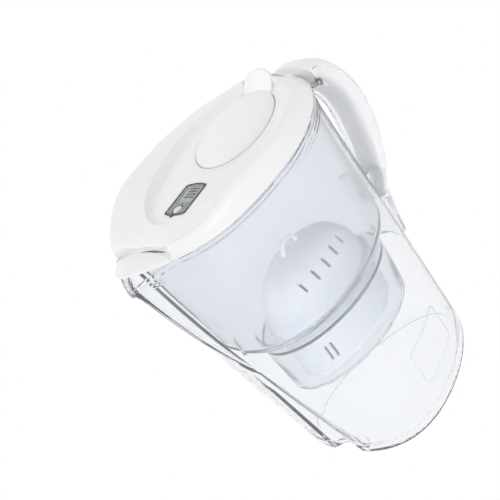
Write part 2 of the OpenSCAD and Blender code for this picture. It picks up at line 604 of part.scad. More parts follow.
module flip_flap() {
    color("white") union() {
        difference() {
            loft(flap_rings);
            // Room under the edge for the walls that hold the hinge pin
            for (s = [-1, 1]) translate([hinge_x - tub_front - piece_gap, s * (pocket_w + pocket_wall / 2)
                - pocket_wall / 2 - piece_gap, hinge_z - 5]) cube([8, pocket_wall + 2 * piece_gap,
                    5 + tub_top + piece_gap]);
        }
        translate([hinge_x, 0, hinge_z]) {
            rotate([0, -tab_lean, 0]) translate([0, 0, -tab_t]) linear_extrude(tab_t) polygon(tab_line);
            pin(barrel_r, -tab_half_w, 2 * tab_half_w);
            pin(pin_r, -pocket_w - pocket_wall + 0.8, 2 * (pocket_w + pocket_wall) - 1.6);
        }
    }
}

// ---- Pour cover: a crowned slab from the arc to the nose, tilted up on its hinge
cover_n = 8;
cover_m = 14;
cover_pow = 1.5;
cover_rise_pow = 1.2;
cover_nose_x = lip_x + 0.4;
function cover_back(k) = arc_x + arc_bow * (1 - pow(k * cover_half_w / lip_half_w, 2)) - cover_gap;
function cover_front(k) = min(cover_back(k) - 1.2,
    arc_x - (cover_nose_x + arc_x) * (1 - pow(abs(k * cover_half_w) / lip_half_w, cover_pow)));
// Height of the underside over the lid's lower edge, from the arc (u = 0) to the front edge (u = 1)
function cover_h(u, k) = let (c = 1 - k * k) 0.2 + lerp(cover_arc_h * c, cover_nose_h * (1 - pow(abs(k),
    cover_rise_pow)), u)
    + 1.4 * sin(180 * u) * c;
function cover_pt(u, k, up) = [lerp(cover_back(k), cover_front(k), u), k * cover_half_w,
    lid_z + cover_h(u, k) + up];
// One closed section across the cover, top from arc to front and back along the underside
function cover_ring(k) = concat([for (i = [0:cover_n]) cover_pt(i / cover_n, k, cover_t)],
    [for (i = [cover_n:-1:0]) cover_pt(i / cover_n, k, 0)]);
cover_caps = [for (i = [0:cover_n - 1]) [i, i + 1, 2 * cover_n - i, 2 * cover_n + 1 - i]];

module pour_cover() {
    color("white") union() {
        loft([for (j = [0:cover_m]) cover_ring(1 - 2 * j / cover_m)], caps = cover_caps);
        for (s = [-1, 1]) translate([cover_axis.x, s * (cover_half_w - 1) - 1, cover_axis.y]) {
            pin(0.95, 0, 2);
            pin(cover_pin_r, s < 0 ? -ear_gap - 1.1 : 0, 2 + ear_gap + 1.1);
        }
    }
}

// ---- Filter indicator, in the frame of the basin floor
case_wall = 1;
bezel_t = 1.2;
board_t = 1;
cell_t = 2;
lcd_l = 16.2;
lcd_x = 5;
button_x = -10.4;
button_gap = 0.35;
button_travel = 0.6;
case_floor = -ind_depth + case_wall;
cell_z = case_floor;
board_z = cell_z + cell_t + 0.6;
lcd_z = board_z + board_t + 0.5;
lcd_t = 0.6;
window_z = lcd_z + lcd_t + 0.3;
window_top = window_z + 0.8;
cavity_rim = bezel_rim + case_wall;

module indicator_case() {
    color([0.29, 0.3, 0.31]) on_floor(-ind_x) difference() {
        union() {
            bezel_plate(bezel_rim, -ind_depth, ind_depth + 0.4);
            bezel_plate(0, 0.1, bezel_t);
        }
        bezel_plate(cavity_rim, case_floor, 20);
    }
}

module indicator_window() {
    color([0.6, 0.62, 0.62, 0.8]) on_floor(-ind_x) difference() {
        bezel_plate(cavity_rim + 0.15, window_z, window_top - window_z);
        translate([button_x, 0, -10]) cylinder(h = 20, d = button_d + 2 * button_gap);
    }
}

module lcd_panel() {
    color([0.62, 0.67, 0.62]) on_floor(-ind_x)
        translate([lcd_x - lcd_l / 2, -ind_w * 0.32, lcd_z]) cube([lcd_l, ind_w * 0.64, lcd_t]);
}

module lcd_bars() {
    color([0.15, 0.17, 0.17]) on_floor(-ind_x) for (i = [0:3])
        translate([lcd_x - lcd_l / 2 + 5.6 + i * 2.6, -ind_w * 0.24, lcd_z + lcd_t]) cube([1.2,
            ind_w * 0.48, 0.15]);
}

module circuit_board() {
    color([0.12, 0.35, 0.22]) on_floor(-ind_x) bezel_plate(cavity_rim + 0.3, board_z, board_t);
}

module contact_strip() {
    color([0.3, 0.3, 0.32]) on_floor(-ind_x) for (s = [-1, 1])
        translate([lcd_x - lcd_l / 2 + 1, s * ind_w * 0.27 - 0.9, board_z + board_t]) cube([lcd_l - 2,
            1.8, 0.5]);
}

module coin_cell() {
    color("silver") on_floor(-ind_x) translate([lcd_x - 1, 0, cell_z]) cylinder(h = cell_t, d = cell_d);
}

module cell_contact() {
    color("gold") on_floor(-ind_x) translate([lcd_x - 5, -2, cell_z + cell_t]) cube([10, 4, 0.6]);
}

module start_button() {
    color("silver") on_floor(-ind_x) translate([button_x, 0, 0]) {
        translate([0, 0, board_z + board_t + button_travel + 0.1])
            cylinder(h = window_top + 0.5 - board_z - board_t - button_travel - 0.1, d = button_d);
    }
}

jug_shell();
handle_rail();
handle_grip();
funnel();
cartridge_housing();
cartridge_cap();
inlet_mesh();
outlet_mesh();
filter_media();
cartridge_seal();
lid_shell();
flip_flap();
pour_cover();
indicator_case();
indicator_window();
lcd_panel();
lcd_bars();
circuit_board();
contact_strip();
coin_cell();
cell_contact();
start_button();
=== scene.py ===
# %% [markdown]
# A water filter pitcher: a clear jug, a loop handle with a white insert, a funnel that hangs in the jug with
# its filter cartridge, and a white lid with a fill flap, a pour cover and a small filter-life display.
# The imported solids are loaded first. They give the place of everything, so each surface below is worked out
# in the same frame: X from the spout to the handle, Z up, the foot on Z = 0. Lengths are in millimetres and
# become metres only when a mesh is made.

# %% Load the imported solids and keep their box
import bpy
import math
import numpy as np
from mathutils import Matrix, Vector


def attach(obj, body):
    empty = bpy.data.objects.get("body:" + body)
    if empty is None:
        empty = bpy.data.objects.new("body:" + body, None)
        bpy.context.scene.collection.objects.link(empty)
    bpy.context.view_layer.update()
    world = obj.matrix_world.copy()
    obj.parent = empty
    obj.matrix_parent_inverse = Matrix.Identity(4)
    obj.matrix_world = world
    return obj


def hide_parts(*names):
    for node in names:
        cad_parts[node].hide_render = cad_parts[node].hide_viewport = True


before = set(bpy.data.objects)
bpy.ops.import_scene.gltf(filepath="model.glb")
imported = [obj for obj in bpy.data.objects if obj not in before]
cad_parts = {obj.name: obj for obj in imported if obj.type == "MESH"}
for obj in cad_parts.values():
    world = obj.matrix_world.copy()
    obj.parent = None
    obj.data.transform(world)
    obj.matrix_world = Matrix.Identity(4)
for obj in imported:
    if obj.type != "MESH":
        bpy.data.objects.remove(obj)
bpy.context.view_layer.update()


MM = 0.001

# %% [markdown]
# Nearly every piece here is a skin over a stack of rings. A ring is a closed row of points, and the stack
# walks along a profile: up the outside of a wall, over its edge and down the inside. Blender takes such a
# grid straight from numpy, so no vertex is handled one by one. A stack can end in a pole (a fan of
# triangles) or join its own start.

# %% Small helpers for numbers
def lerp(a, b, t):
    """A value t of the way from a to b."""
    return a + (b - a) * t


def ease(t):
    """Smooth step: 0 below 0, 1 above 1, and 3t^2 - 2t^3 between."""
    u = np.clip(t, 0, 1)
    return u * u * (3 - 2 * u)


def spow(c, e):
    """Signed power: the sign of c times its size to the power e."""
    return np.sign(c) * np.abs(c) ** e


def unit(v):
    """Vectors of length 1 along the last axis."""
    return v / np.linalg.norm(v, axis=-1, keepdims=True)


def joined(*rows, axis=0):
    """Arrays one after the other."""
    return np.concatenate(rows, axis)


def points(*v):
    """Points whose coordinates are the given arrays, stretched to one shape."""
    return np.stack(np.broadcast_arrays(*v), -1)


def outward(line):
    """Outward normals of length 1 along a closed line that runs counterclockwise."""
    along = unit(np.roll(line, -1, 0) - np.roll(line, 1, 0))
    return points(along[:, 1], -along[:, 0])


def smooth_rows(rows, steps):
    """Catmull-Rom curve through a stack of rows: each stretch is a cubic whose slope at a row is half the
    step from the row before to the row after, so all rows lie on the curve."""
    p = joined(2 * rows[:1] - rows[1:2], rows, 2 * rows[-1:] - rows[-2:-1])
    a, b, c, d = p[:-3, None], p[1:-2, None], p[2:-1, None], p[3:, None]
    t = (np.arange(steps) / steps).reshape((1, steps) + (1,) * (rows.ndim - 1))
    q = 0.5 * (2 * b + (c - a) * t + (2 * a - 5 * b + 4 * c - d) * t**2 + (3 * b - a - 3 * c + d) * t**3)
    return joined(q.reshape((-1,) + rows.shape[1:]), rows[-1:])


print("ease(0.5) =", ease(0.5))

# %% One skin from a stack of rings
SHARP = 34.0


def skin(name, rings, loop=False, caps=True, sharp=SHARP):
    """Mesh over rings, an array (rings, points, 3) in millimetres. Corner b is the next point of a ring, and
    c and d lie above b and a. A loop joins the last ring to the first. Otherwise each end gets a pole at the
    mean of its ring. The rings are turned round where the volume, the sum of a . (b x c) / 6, is negative, so
    faces point outwards. Edges that turn more than `sharp` degrees stay crisp."""
    m, n, _ = rings.shape
    poles = rings[[0, -1]].mean(1, keepdims=True)
    a = rings if loop else joined(poles[:1].repeat(n, 1), rings, poles[1:].repeat(n, 1))
    b, d = np.roll(a, -1, 1), np.roll(a, -1, 0)
    c = np.roll(b, -1, 0)
    volume = ((a * np.cross(b, c)).sum(-1) + (a * np.cross(c, d)).sum(-1))[:None if loop else -1].sum() / 6
    rings = rings[:, ::-1] if volume < 0 else rings
    ids = np.arange(m * n).reshape(m, n)
    low, high = (ids, np.roll(ids, -1, 0)) if loop else (ids[:-1], ids[1:])
    faces = np.stack([low, np.roll(low, -1, 1), np.roll(high, -1, 1), high], -1).reshape(-1, 4).tolist()
    vertices = rings.reshape(-1, 3)
    if caps and not loop:
        vertices = joined(vertices, poles[:, 0])
        first, last = ids[0], ids[-1]
        for pole, one, two in ((m * n, np.roll(first, -1), first), (m * n + 1, last, np.roll(last, -1))):
            faces += np.stack([np.full(n, pole), one, two], -1).tolist()
    mesh = bpy.data.meshes.new(name)
    mesh.from_pydata((vertices * MM).tolist(), [], faces)
    mesh.shade_smooth()
    mesh.set_sharp_from_angle(angle=math.radians(sharp))
    obj = bpy.data.objects.new(name, mesh)
    bpy.context.scene.collection.objects.link(obj)
    return obj


def finish(obj, body, material, slot, *nodes):
    """Rides a piece on its body, gives it a material, and lets it stand for solids. The slot is not used."""
    obj.data.materials.clear()
    obj.data.materials.append(material)
    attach(obj, body)
    if nodes:
        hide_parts(*nodes)
    print(f"{obj.name}: {len(obj.data.polygons)} faces on {body}")
    return obj


# %% [markdown]
# A slot or a hole is easiest to cut out of a finished skin. Blender's Boolean modifier does that, and its
# result is baked into the mesh at once, so that nothing live is left on the piece.

# %% Cut one closed mesh out of another, and join meshes
def combine(obj, operation, others, sharp):
    """Bakes one boolean after the other into obj's mesh and removes the other objects."""
    for other in others:
        modifier = obj.modifiers.new("combine", "BOOLEAN")
        modifier.operation, modifier.solver, modifier.object = operation, "EXACT", other
        graph = bpy.context.evaluated_depsgraph_get()
        baked = bpy.data.meshes.new_from_object(obj.evaluated_get(graph))
        obj.modifiers.clear()
        obj.data = baked
        bpy.data.objects.remove(other)
    obj.data.shade_smooth()
    obj.data.set_sharp_from_angle(angle=math.radians(sharp))
    return obj


def carve(obj, *cutters, sharp=SHARP):
    """Takes the cutters' volume out of obj."""
    return combine(obj, "DIFFERENCE", cutters, sharp)


def weld(obj, *others, sharp=SHARP):
    """Makes one solid of overlapping closed meshes."""
    return combine(obj, "UNION", others, sharp)


def join(first, *others):
    """Puts the other meshes into the first one, each still a closed skin of its own."""
    with bpy.context.temp_override(active_object=first, selected_editable_objects=[first, *others]):
        bpy.ops.object.join()
    return first


# %% Plates with rounded edges
def plate(name, outline, low, high, edge=0.3, place=None, steps=4):
    """A flat plate: an outline (points, 2) pulled in by edge * (1 - sin a) at both faces, where its height
    goes by edge * (1 - cos a), so the rim is a quarter circle. place turns (x, y, z) rows into the frame."""
    outline = np.array(outline)
    a = np.linspace(0, np.pi / 2, steps if edge else 1)
    inset = joined(edge * (1 - np.sin(a)), edge * (1 - np.sin(a[::-1])))
    height = joined(low + edge * (1 - np.cos(a)), high - edge * (1 - np.cos(a[::-1])))
    flat = outline - outward(outline) * inset[:, None, None]
    rings = points(flat[..., 0], flat[..., 1], height[:, None])
    return skin(name, rings if place is None else place(rings))


def circle(r, count=48, x=0.0):
    """Points of a circle about (x, 0), counterclockwise."""
    t = 2 * np.pi * np.arange(count) / count
    return points(x + r * np.cos(t), r * np.sin(t))


def upright(x, z, middle=0.0):
    """Placement that stands an outline up in x and z about (x, z), with the plate's thickness along y."""
    return lambda p: points(x + p[..., 0], middle + p[..., 2], z + p[..., 1])


def tilted(x, z, angle):
    """Placement about (x, 0, z) on a slope that rises by an angle toward +X."""
    c, s = np.cos(angle), np.sin(angle)
    return lambda p: points(x + p[..., 0] * c - p[..., 2] * s, p[..., 1],
        z + p[..., 0] * s + p[..., 2] * c)


print("points of a circle:", len(circle(1.0)))

# %% [markdown]
# The camera looks at the pitcher from the front left and above, rolled so far over that the pitcher seems
# to tip and pour. Its place and its directions are plain numbers: right and back of the picture in the
# pitcher's frame. The long lens keeps the view nearly free of perspective.

# %% Camera
PICTURE, FOCAL, SENSOR = 500.0, 1400.0, 36.0
camera_data = bpy.data.cameras.new("camera")
camera_data.sensor_width = SENSOR
camera_data.lens = SENSOR * FOCAL / PICTURE
camera_data.clip_start = 0.05
camera = bpy.data.objects.new("camera", camera_data)
bpy.context.scene.collection.objects.link(camera)
right = Vector((0.52746, -0.66528, -0.52838)).normalized()
back = Vector((-0.48441, -0.74644, 0.45626)).normalized()
up = back.cross(right).normalized()
right = up.cross(back)
turn = Matrix((right, up, back)).transposed().to_4x4()
camera.matrix_world = Matrix.Translation((-0.51873, -0.76133, 0.64850)) @ turn
bpy.context.scene.camera = camera
print("camera lens", round(camera_data.lens, 1), "mm")

# %% [markdown]
# Every finish is a node material. One function turns the colour code of a paint chart (sRGB) into the
# linear numbers that the shader works with, one adds a node with its settings and links, and one makes a
# material. Colours and other values that are the same all over go straight onto the shader's sockets.

# %% Colour and node helpers
def colour(code):
    """Linear RGBA of an sRGB hex code: c / 12.92 up to 0.04045, above it ((c + 0.055) / 1.055)^2.4."""
    c = np.array([int(code[i:i + 2], 16) for i in (1, 3, 5)]) / 255
    return [float(v) for v in np.where(c <= 0.04045, c / 12.92, ((c + 0.055) / 1.055) ** 2.4)] + [1.0]


def add(tree, kind, links=None, **settings):
    """Adds a node. Settings are its own properties, or inputs when the name is one. Links feed inputs."""
    node = tree.nodes.new(kind)
    for key, value in settings.items():
        name = key.replace("_", " ")
        if hasattr(node, key):
            setattr(node, key, value)
        else:
            next(s for s in node.inputs if s.name.lower() == name.lower()).default_value = value
    for key, socket in (links or {}).items():
        tree.links.new(socket, node.inputs[key])
    return node


def raise_by(tree, main, height, strength, distance):
    """Tilts the light on a surface as if a height, up to a distance in metres, stood on it."""
    bump = add(tree, "ShaderNodeBump", {"Height": height}, Strength=strength, Distance=distance)
    tree.links.new(bump.outputs[0], main.inputs["Normal"])


def material(name, code, grain=None, rough=None, inside=None, behind=None, **shader):
    """A material with one Principled shader of that colour. grain is (size, depth, strength, detail): bumps
    about size millimetres across on Object coordinates, from noise with 1 / size cells. rough lets the
    roughness wander between two values with the grain. inside is (colour, per metre): light absorbed inside
    the plastic, so that a long way through it looks darker than a short one. behind is a tint that lets lamps
    reach what stands behind clear plastic: a ray that only asks whether a lamp is in sight meets a sheet of it,
    where the renderer would call everything behind the plastic shaded."""
    made = bpy.data.materials.new(name)
    made.use_nodes = True
    tree = made.node_tree
    tree.nodes.clear()
    main = add(tree, "ShaderNodeBsdfPrincipled", Base_Color=colour(code), **shader)
    out = add(tree, "ShaderNodeOutputMaterial", {"Surface": main.outputs[0]})
    if grain:
        size, depth, strength, detail = (*grain, 2.0)[:4]
        spot = add(tree, "ShaderNodeTexCoord").outputs["Object"]
        noise = add(tree, "ShaderNodeTexNoise", {"Vector": spot}, Scale=1 / (size * MM), Detail=detail)
        raise_by(tree, main, noise.outputs[0], strength, depth * MM)
    if rough:
        spread = add(tree, "ShaderNodeMapRange", {"Value": noise.outputs[0]}, To_Min=rough[0], To_Max=rough[1])
        tree.links.new(spread.outputs[0], main.inputs["Roughness"])
    if inside:
        tint = add(tree, "ShaderNodeVolumeAbsorption", Color=colour(inside[0]), Density=inside[1])
        tree.links.new(tint.outputs[0], out.inputs["Volume"])
    if behind:
        path = add(tree, "ShaderNodeLightPath")
        sheet = add(tree, "ShaderNodeBsdfTransparent", Color=colour(behind))
        mixed = add(tree, "ShaderNodeMixShader",
            {0: path.outputs["Is Shadow Ray"], 1: main.outputs[0], 2: sheet.outputs[0]})
        tree.links.new(mixed.outputs[0], out.inputs["Surface"])
    print("material:", name)
    return made


# %% [markdown]
# The jug and the handle's rail are styrene acrylonitrile (SAN), a hard clear plastic, moulded in a
# mirror-polished tool, so it is smooth and only faintly wavy. A sheet of it looks almost colourless face on,
# but its edges, where light runs along the wall, turn grey with a touch of lavender: that comes from the
# absorption inside. Real SAN has an index of 1.57. A render follows only a few bounces, and with that index
# the light trapped in a thin wall comes out as black specks. A lower index keeps the edges clean.

# %% SAN, injection moulded, polished
san = material("SAN, clear, polished moulding", "#FDFEFF", (30.0, 0.05, 0.25, 1.0), inside=("#8790B0", 7.0),
    behind="#FEFEFF", Roughness=0.015, IOR=1.19, Transmission_Weight=0.94)

# %% [markdown]
# The funnel is moulded from the same family of plastic, but in a less polished tool. It veils what is
# behind it a little and gives back soft, wide highlights.

# %% SAN, lightly frosted
frosted = material("SAN, lightly frosted moulding", "#FAFBFE", (1.2, 0.02, 0.3), rough=(0.08, 0.16),
    inside=("#A6ADC0", 7.0), behind="#F8F9FD", Roughness=0.10, IOR=1.14, Transmission_Weight=0.92)

# %% [markdown]
# The lid, flap, pour cover and handle insert are white ABS. It is opaque and takes a satin finish from a
# lightly blasted tool: a soft highlight, whose gloss is broken by fine grain and a wandering roughness.

# %% ABS, white, satin moulding
abs_white = material("ABS, white, satin moulding", "#F4F4F3", (0.9, 0.012, 0.5), rough=(0.30, 0.40),
    Roughness=0.34, IOR=1.53, Coat_Weight=0.12, Coat_Roughness=0.12)

# %% [markdown]
# The cartridge is polypropylene: milky white, slightly see-through and softer in its gloss. The seal is
# silicone. The mesh is woven nylon, whose threads are 0.15 mm wide and too fine to show at this distance,
# so the weave is drawn at 0.6 mm. The media is granules of carbon and resin, 0.5 to 1 mm across.

# %% Polypropylene, silicone, nylon mesh and granules
pp_white = material("polypropylene, milky white moulding", "#FBFBFB", (1.0, 0.015, 0.5), Roughness=0.42,
    IOR=1.49, Subsurface_Weight=0.25, Subsurface_Scale=0.003)
silicone = material("silicone, moulded seal", "#C9D0D8", (0.5, 0.01, 0.5), Roughness=0.55, IOR=1.41)

THREAD, BANDS, GRANULE = 0.6 * MM, 0.314, 0.9 * MM
nylon_mesh = material("nylon, woven mesh", "#DDE1E6", Roughness=0.6)
tree = nylon_mesh.node_tree
spot = add(tree, "ShaderNodeTexCoord").outputs["Object"]
warp, weft = [add(tree, "ShaderNodeTexWave", {"Vector": spot}, bands_direction=way, Scale=BANDS / THREAD)
    for way in "XY"]
both = add(tree, "ShaderNodeMath", {0: warp.outputs[1], 1: weft.outputs[1]}, operation="MULTIPLY")
raise_by(tree, tree.nodes["Principled BSDF"], both.outputs[0], 0.8, 0.3 * MM)

granules = material("carbon and resin, loose granules", "#4A4A4B", Roughness=0.9)
tree = granules.node_tree
main = tree.nodes["Principled BSDF"]
spot = add(tree, "ShaderNodeTexCoord").outputs["Object"]
cells = add(tree, "ShaderNodeTexVoronoi", {"Vector": spot}, Scale=1 / GRANULE)
tone = add(tree, "ShaderNodeValToRGB", {0: cells.outputs["Color"]})
for element, code in zip(tone.color_ramp.elements, ("#2B2B2C", "#8A7C66")):
    element.color = colour(code)
tree.links.new(tone.outputs[0], main.inputs["Base Color"])
raise_by(tree, main, cells.outputs["Distance"], 0.9, 0.5 * MM)

# %% [markdown]
# The display unit has a dark grey ABS frame, a clear window, and behind it a face in grey metallic lacquer
# round the liquid crystal panel. The button is lacquered silver. Inside are a green glass-fibre board, a
# nickel-plated cell, a brass contact and a striped silicone strip.

# %% Finishes of the display unit
abs_grey = material("ABS, dark grey, satin moulding", "#3B3D42", (0.6, 0.012, 0.5), Roughness=0.36, IOR=1.53)
face_grey = material("ABS, grey metallic lacquer", "#8B8E91", (0.2, 0.006, 0.4), Metallic=0.3, Roughness=0.34)
window_clear = material("polycarbonate, smoke-tinted window", "#F0F2F1", (8.0, 0.01, 0.2), behind="#F4F5F4",
    Roughness=0.06, IOR=1.3, Transmission_Weight=1.0)
lcd_grey = material("liquid crystal display glass", "#B4BDAE", (3.0, 0.004, 0.3), Roughness=0.22)
lcd_dark = material("liquid crystal, dark segment", "#1C1F21", (0.4, 0.004, 0.3), Roughness=0.3)
silver = material("ABS, silver lacquered", "#D9DADB", (0.15, 0.004, 0.4), Metallic=0.55, Roughness=0.28)
board_green = material("glass-fibre board, green lacquer", "#1F5A3A", (0.5, 0.01, 0.4), Roughness=0.4)
nickel = material("steel, nickel-plated and drawn", "#C9C9C6", (0.2, 0.004, 0.4), Metallic=1.0, Roughness=0.3)
brass = material("brass, stamped strip", "#CDA85A", (0.2, 0.004, 0.4), Metallic=1.0, Roughness=0.33)
rubber_dark = material("silicone, striped contact strip", "#4E4E52", (0.2, 0.01, 0.6), Roughness=0.6)

# %% [markdown]
# The jug's outline is a superellipse: |x / a| ^ p + |y / b| ^ p = 1, with one power at the front and a more
# pointed one at the rear. It widens from the foot to the rim. Across the front a cut replaces the nose: at
# the foot it is a shallow groove, half way up it closes to a narrow keel, and from there it opens into the
# pouring lip. These few sizes drive the jug, the funnel and the lid alike.

# %% Sizes of the jug
JUG_H, SPLIT_H = 244.0, 117.0
FOOT_HALF_W, RIM_HALF_W = 64.5, 69.5
REAR_X, CENTRE_X = 96.0, -6.0
FOOT_NOSE, SPLIT_NOSE, RIM_NOSE, LIP_X = 60.8, 85.2, 102.0, 122.4
GROOVE_HALF_W, KEEL_HALF_W, LIP_HALF_W = 16.0, 4.0, 30.8
GROOVE_DEPTH, KEEL_SWELL, LIP_DIP, DIP_L, DIP_H = 8.0, 13.0, 6.5, 22.0, 34.0
REAR_POW, FOOT_POW, RIM_POW, LIP_POW = 1.7, 2.57, 2.36, 1.3
JUG_WALL, FLOOR_T, FOOT_ROUND = 2.6, 4.6, 3.0
BAND_H, BAND_OUT, BAND_WALL = 5.5, 1.49, 1.69
SEAT_Z, BAND_Z = JUG_H - BAND_H + 0.5, JUG_H - BAND_H
SIDE, FRONT = 72, 48


def above(z):
    """Share of the way from the split of the keel (0) to the rim (1)."""
    return np.clip((z - SPLIT_H) / (JUG_H - SPLIT_H), 0, 1)


def plan(z, w):
    """Outline at height z moved in by w: the reach of the nose and of the rear from the centre, half the
    width, and the power of the front. The nose comes in 1.35 and the rear 1.2 times as fast as the sides."""
    nose = np.where(z < SPLIT_H, lerp(FOOT_NOSE, SPLIT_NOSE, z / SPLIT_H), lerp(SPLIT_NOSE, RIM_NOSE, above(z)))
    return (nose + CENTRE_X - 1.35 * w, REAR_X - CENTRE_X - 1.2 * w + 0 * z,
        lerp(FOOT_HALF_W, RIM_HALF_W, z / JUG_H) - w, lerp(FOOT_POW, RIM_POW, z / JUG_H))


def cut_ring(shape, cut_half, bow, z, power=2.0):
    """Rings (rows, points, 3): from the rear round the +Y side to the cut, across it, and back along -Y. The
    sides are x = a cos(t)^(2/p), y = b sin(t)^(2/p), signs kept, with the front's or the rear's p. At share k
    of the cut's half width the line stands in by bow * (1 - |k|^power)."""
    nose, rear, half, front_pow = [np.atleast_1d(v)[:, None] for v in np.broadcast_arrays(*shape)]
    cut_half, bow, z, power = [np.broadcast_to(v, (len(nose),))[:, None] for v in (cut_half, bow, z, power)]
    end = np.pi - np.arcsin((cut_half / half) ** (front_pow / 2))
    t = end * np.linspace(0, 1, SIDE + 1)[None]
    c, s = np.cos(t), np.sin(t)
    e = 2 / np.where(c < 0, front_pow, REAR_POW)
    x, y = CENTRE_X + np.where(c < 0, nose, rear) * spow(c, e), half * spow(s, e)
    k = 1 - 2 * np.arange(1, FRONT)[None] / FRONT
    front_x = x[:, -1:] + bow * (1 - np.abs(k) ** power)
    xs = joined(x, front_x, x[:, :0:-1], axis=1)
    ys = joined(y, cut_half * k, -y[:, :0:-1], axis=1)
    return points(xs, ys, z)


def cut_half_w(z):
    """Half the width of the front cut: narrows in a straight line to the keel, then opens to the lip."""
    return np.where(z < SPLIT_H, lerp(GROOVE_HALF_W, KEEL_HALF_W, z / SPLIT_H),
        lerp(KEEL_HALF_W, LIP_HALF_W, above(z)))


def cut_bow(z):
    """Inward bow of the cut: the groove's depth below the split; above it, back out to the keel's line,
    which is a straight line plus swell * a * (1 - a)."""
    nose, _, half, power = plan(z, 0)
    end = np.pi - np.arcsin((cut_half_w(z) / half) ** (power / 2))
    chord = CENTRE_X + nose * spow(np.cos(end), 2 / power)
    a = above(z)
    keel = lerp(SPLIT_NOSE, LIP_X, a) + KEEL_SWELL * a * (1 - a)
    return np.where(z < SPLIT_H, GROOVE_DEPTH * (1 - z / SPLIT_H), -keel - chord)


def jug_rings(profile):
    """The jug's rings for a profile of (height, way in) rows. Near the tip of the lip they dip by the cube
    of the distance."""
    z, w = profile[:, 0], profile[:, 1]
    rings = cut_ring(plan(z, w), cut_half_w(z), cut_bow(z), z, lerp(2.0, LIP_POW, above(z)))
    part = np.clip(1 + (-rings[..., 0] - LIP_X - BAND_OUT) / DIP_L, 0, 1) ** 3
    rings[..., 2] -= LIP_DIP * part * ease((rings[..., 2] - JUG_H + DIP_H) / DIP_H)
    return rings


def shrunk(ring, shares, z):
    """Copies of a ring drawn toward its middle by each share, at heights z, to close a floor."""
    middle = np.array([14.0, 0.0])
    flat = middle + (ring[:, :2] - middle) * np.array(shares)[:, None, None]
    return points(flat[..., 0], flat[..., 1], np.array(z)[:, None])


print("rim", plan(np.array(JUG_H), 0.0))

# %% [markdown]
# The wall of the jug is one closed skin: from the middle of the slightly hollow underside over the rounded
# foot, up the outside past two fine beads and the flared band, over the rim, down the inside past the seat
# of the funnel, and across the floor. Light needs both faces of a clear wall, so it is never a single sheet.

# %% Jug
corner = np.linspace(0, np.pi / 2, 7)
foot = FOOT_ROUND * points(1 - np.cos(corner), 1 - np.sin(corner))
wall_z = joined(np.linspace(8, SPLIT_H - 2, 12), np.linspace(SPLIT_H, BAND_Z - 9, 18))
bead = np.array([[-0.5, 0.0], [0.0, -0.35], [0.5, 0.0]])
band_in = BAND_WALL - BAND_OUT
outside = joined(foot, points(wall_z, 0.0), bead + [BAND_Z - 5.9, 0], bead + [BAND_Z - 2.9, 0],
    [(BAND_Z - 1.8, 0.0), (BAND_Z - 0.8, -0.35), (BAND_Z + 0.6, -1.14), (BAND_Z + 1.6, -BAND_OUT),
        (JUG_H - 0.6, -BAND_OUT), (JUG_H - 0.15, 0.15 - BAND_OUT), (JUG_H, 0.5 - BAND_OUT)])
inside = joined([(JUG_H, band_in - 0.5), (JUG_H - 0.4, band_in), (SEAT_Z, band_in),
    (SEAT_Z - 0.05, JUG_WALL - 0.4), (SEAT_Z - 0.5, JUG_WALL)], points(wall_z[:0:-1], JUG_WALL),
    np.array([(5, 0.1), (2.6, 0.8), (1, 2.2), (0.2, 4.2), (0, 6)]) + [FLOOR_T, JUG_WALL])
body_rings = jug_rings(joined(outside, inside))
under = shrunk(body_rings[0], [0.2, 0.5, 0.8, 0.9, 0.93, 0.94, 0.97], [1.4, 1.4, 1.4, 1.3, 0.7, 0.1, 0.0])
floor = shrunk(body_rings[-1], [0.9, 0.6, 0.25], [FLOOR_T] * 3)
jug = skin("jug_wall", joined(under, body_rings, floor), sharp=30)

# %% [markdown]
# Low on the near side the mould leaves a long raised frame, a rounded rectangle where a maker would put a
# name. It stays bare. It is a thin round bead carried along the rectangle and laid onto the curved wall: for
# each point the wall's half width at that X and Z is solved from the superellipse. The band has a small flat
# recess, the gate mark, where the melt entered the mould.

# %% Raised frame and gate mark on the near side of the jug
def round_rect(cx, cz, half_l, half_h, r, count=24):
    """Rounded rectangle, counterclockwise: four corners of radius r, each an arc of count points."""
    a = np.linspace(0, np.pi / 2, count)
    return np.concatenate([points(cx + sx * (half_l - r) + r * np.cos(a + i * np.pi / 2),
        cz + sz * (half_h - r) + r * np.sin(a + i * np.pi / 2))
        for i, (sx, sz) in enumerate([(1, 1), (-1, 1), (-1, -1), (1, -1)])])


def dense(line, step):
    """The closed line with points about every step millimetres, in even shares of its length."""
    closed = joined(line, line[:1])
    run = joined([0], np.cumsum(np.linalg.norm(np.diff(closed, axis=0), axis=1)))
    s = np.linspace(0, run[-1], int(run[-1] / step), endpoint=False)
    return np.stack([np.interp(s, run, closed[:, i]) for i in range(2)], -1)


def bead_on_wall(name, line, r):
    """Round bead of radius r along a line of (x, z) points, sunk by half its radius into the wall's outside
    at y = -b * (1 - |(x - centre) / a|^p)^(1/p)."""
    a = 2 * np.pi * np.arange(10) / 10
    normal = outward(line)
    x, z = [line[:, i, None] + r * np.cos(a) * normal[:, i, None] for i in (0, 1)]
    nose, rear, half, power = plan(z, 0.0)
    u = (x - CENTRE_X) / np.where(x < CENTRE_X, -nose, rear)
    p = np.where(x < CENTRE_X, power, REAR_POW)
    wall = half * (1 - np.clip(u, 0, 1) ** p) ** (1 / p)
    return skin(name, points(x, -(wall - 0.5 * r + r * np.sin(a)), z), loop=True)


GATE_R, GATE_DEPTH = 1.15, 0.9
gate = plate("gate_mark", circle(GATE_R, 32), -4.0, GATE_DEPTH, 0,
    upright(0.5, BAND_Z + 3.2, -RIM_HALF_W - BAND_OUT))
jug = carve(jug, gate, sharp=30)
frame_bead = bead_on_wall("raised_frame", dense(round_rect(17.6, 41.5, 26.5, 16.0, 4.0), 1.5), 0.55)
jug = finish(join(jug, frame_bead), "jug", san, "clear_plastic", "jug_shell")

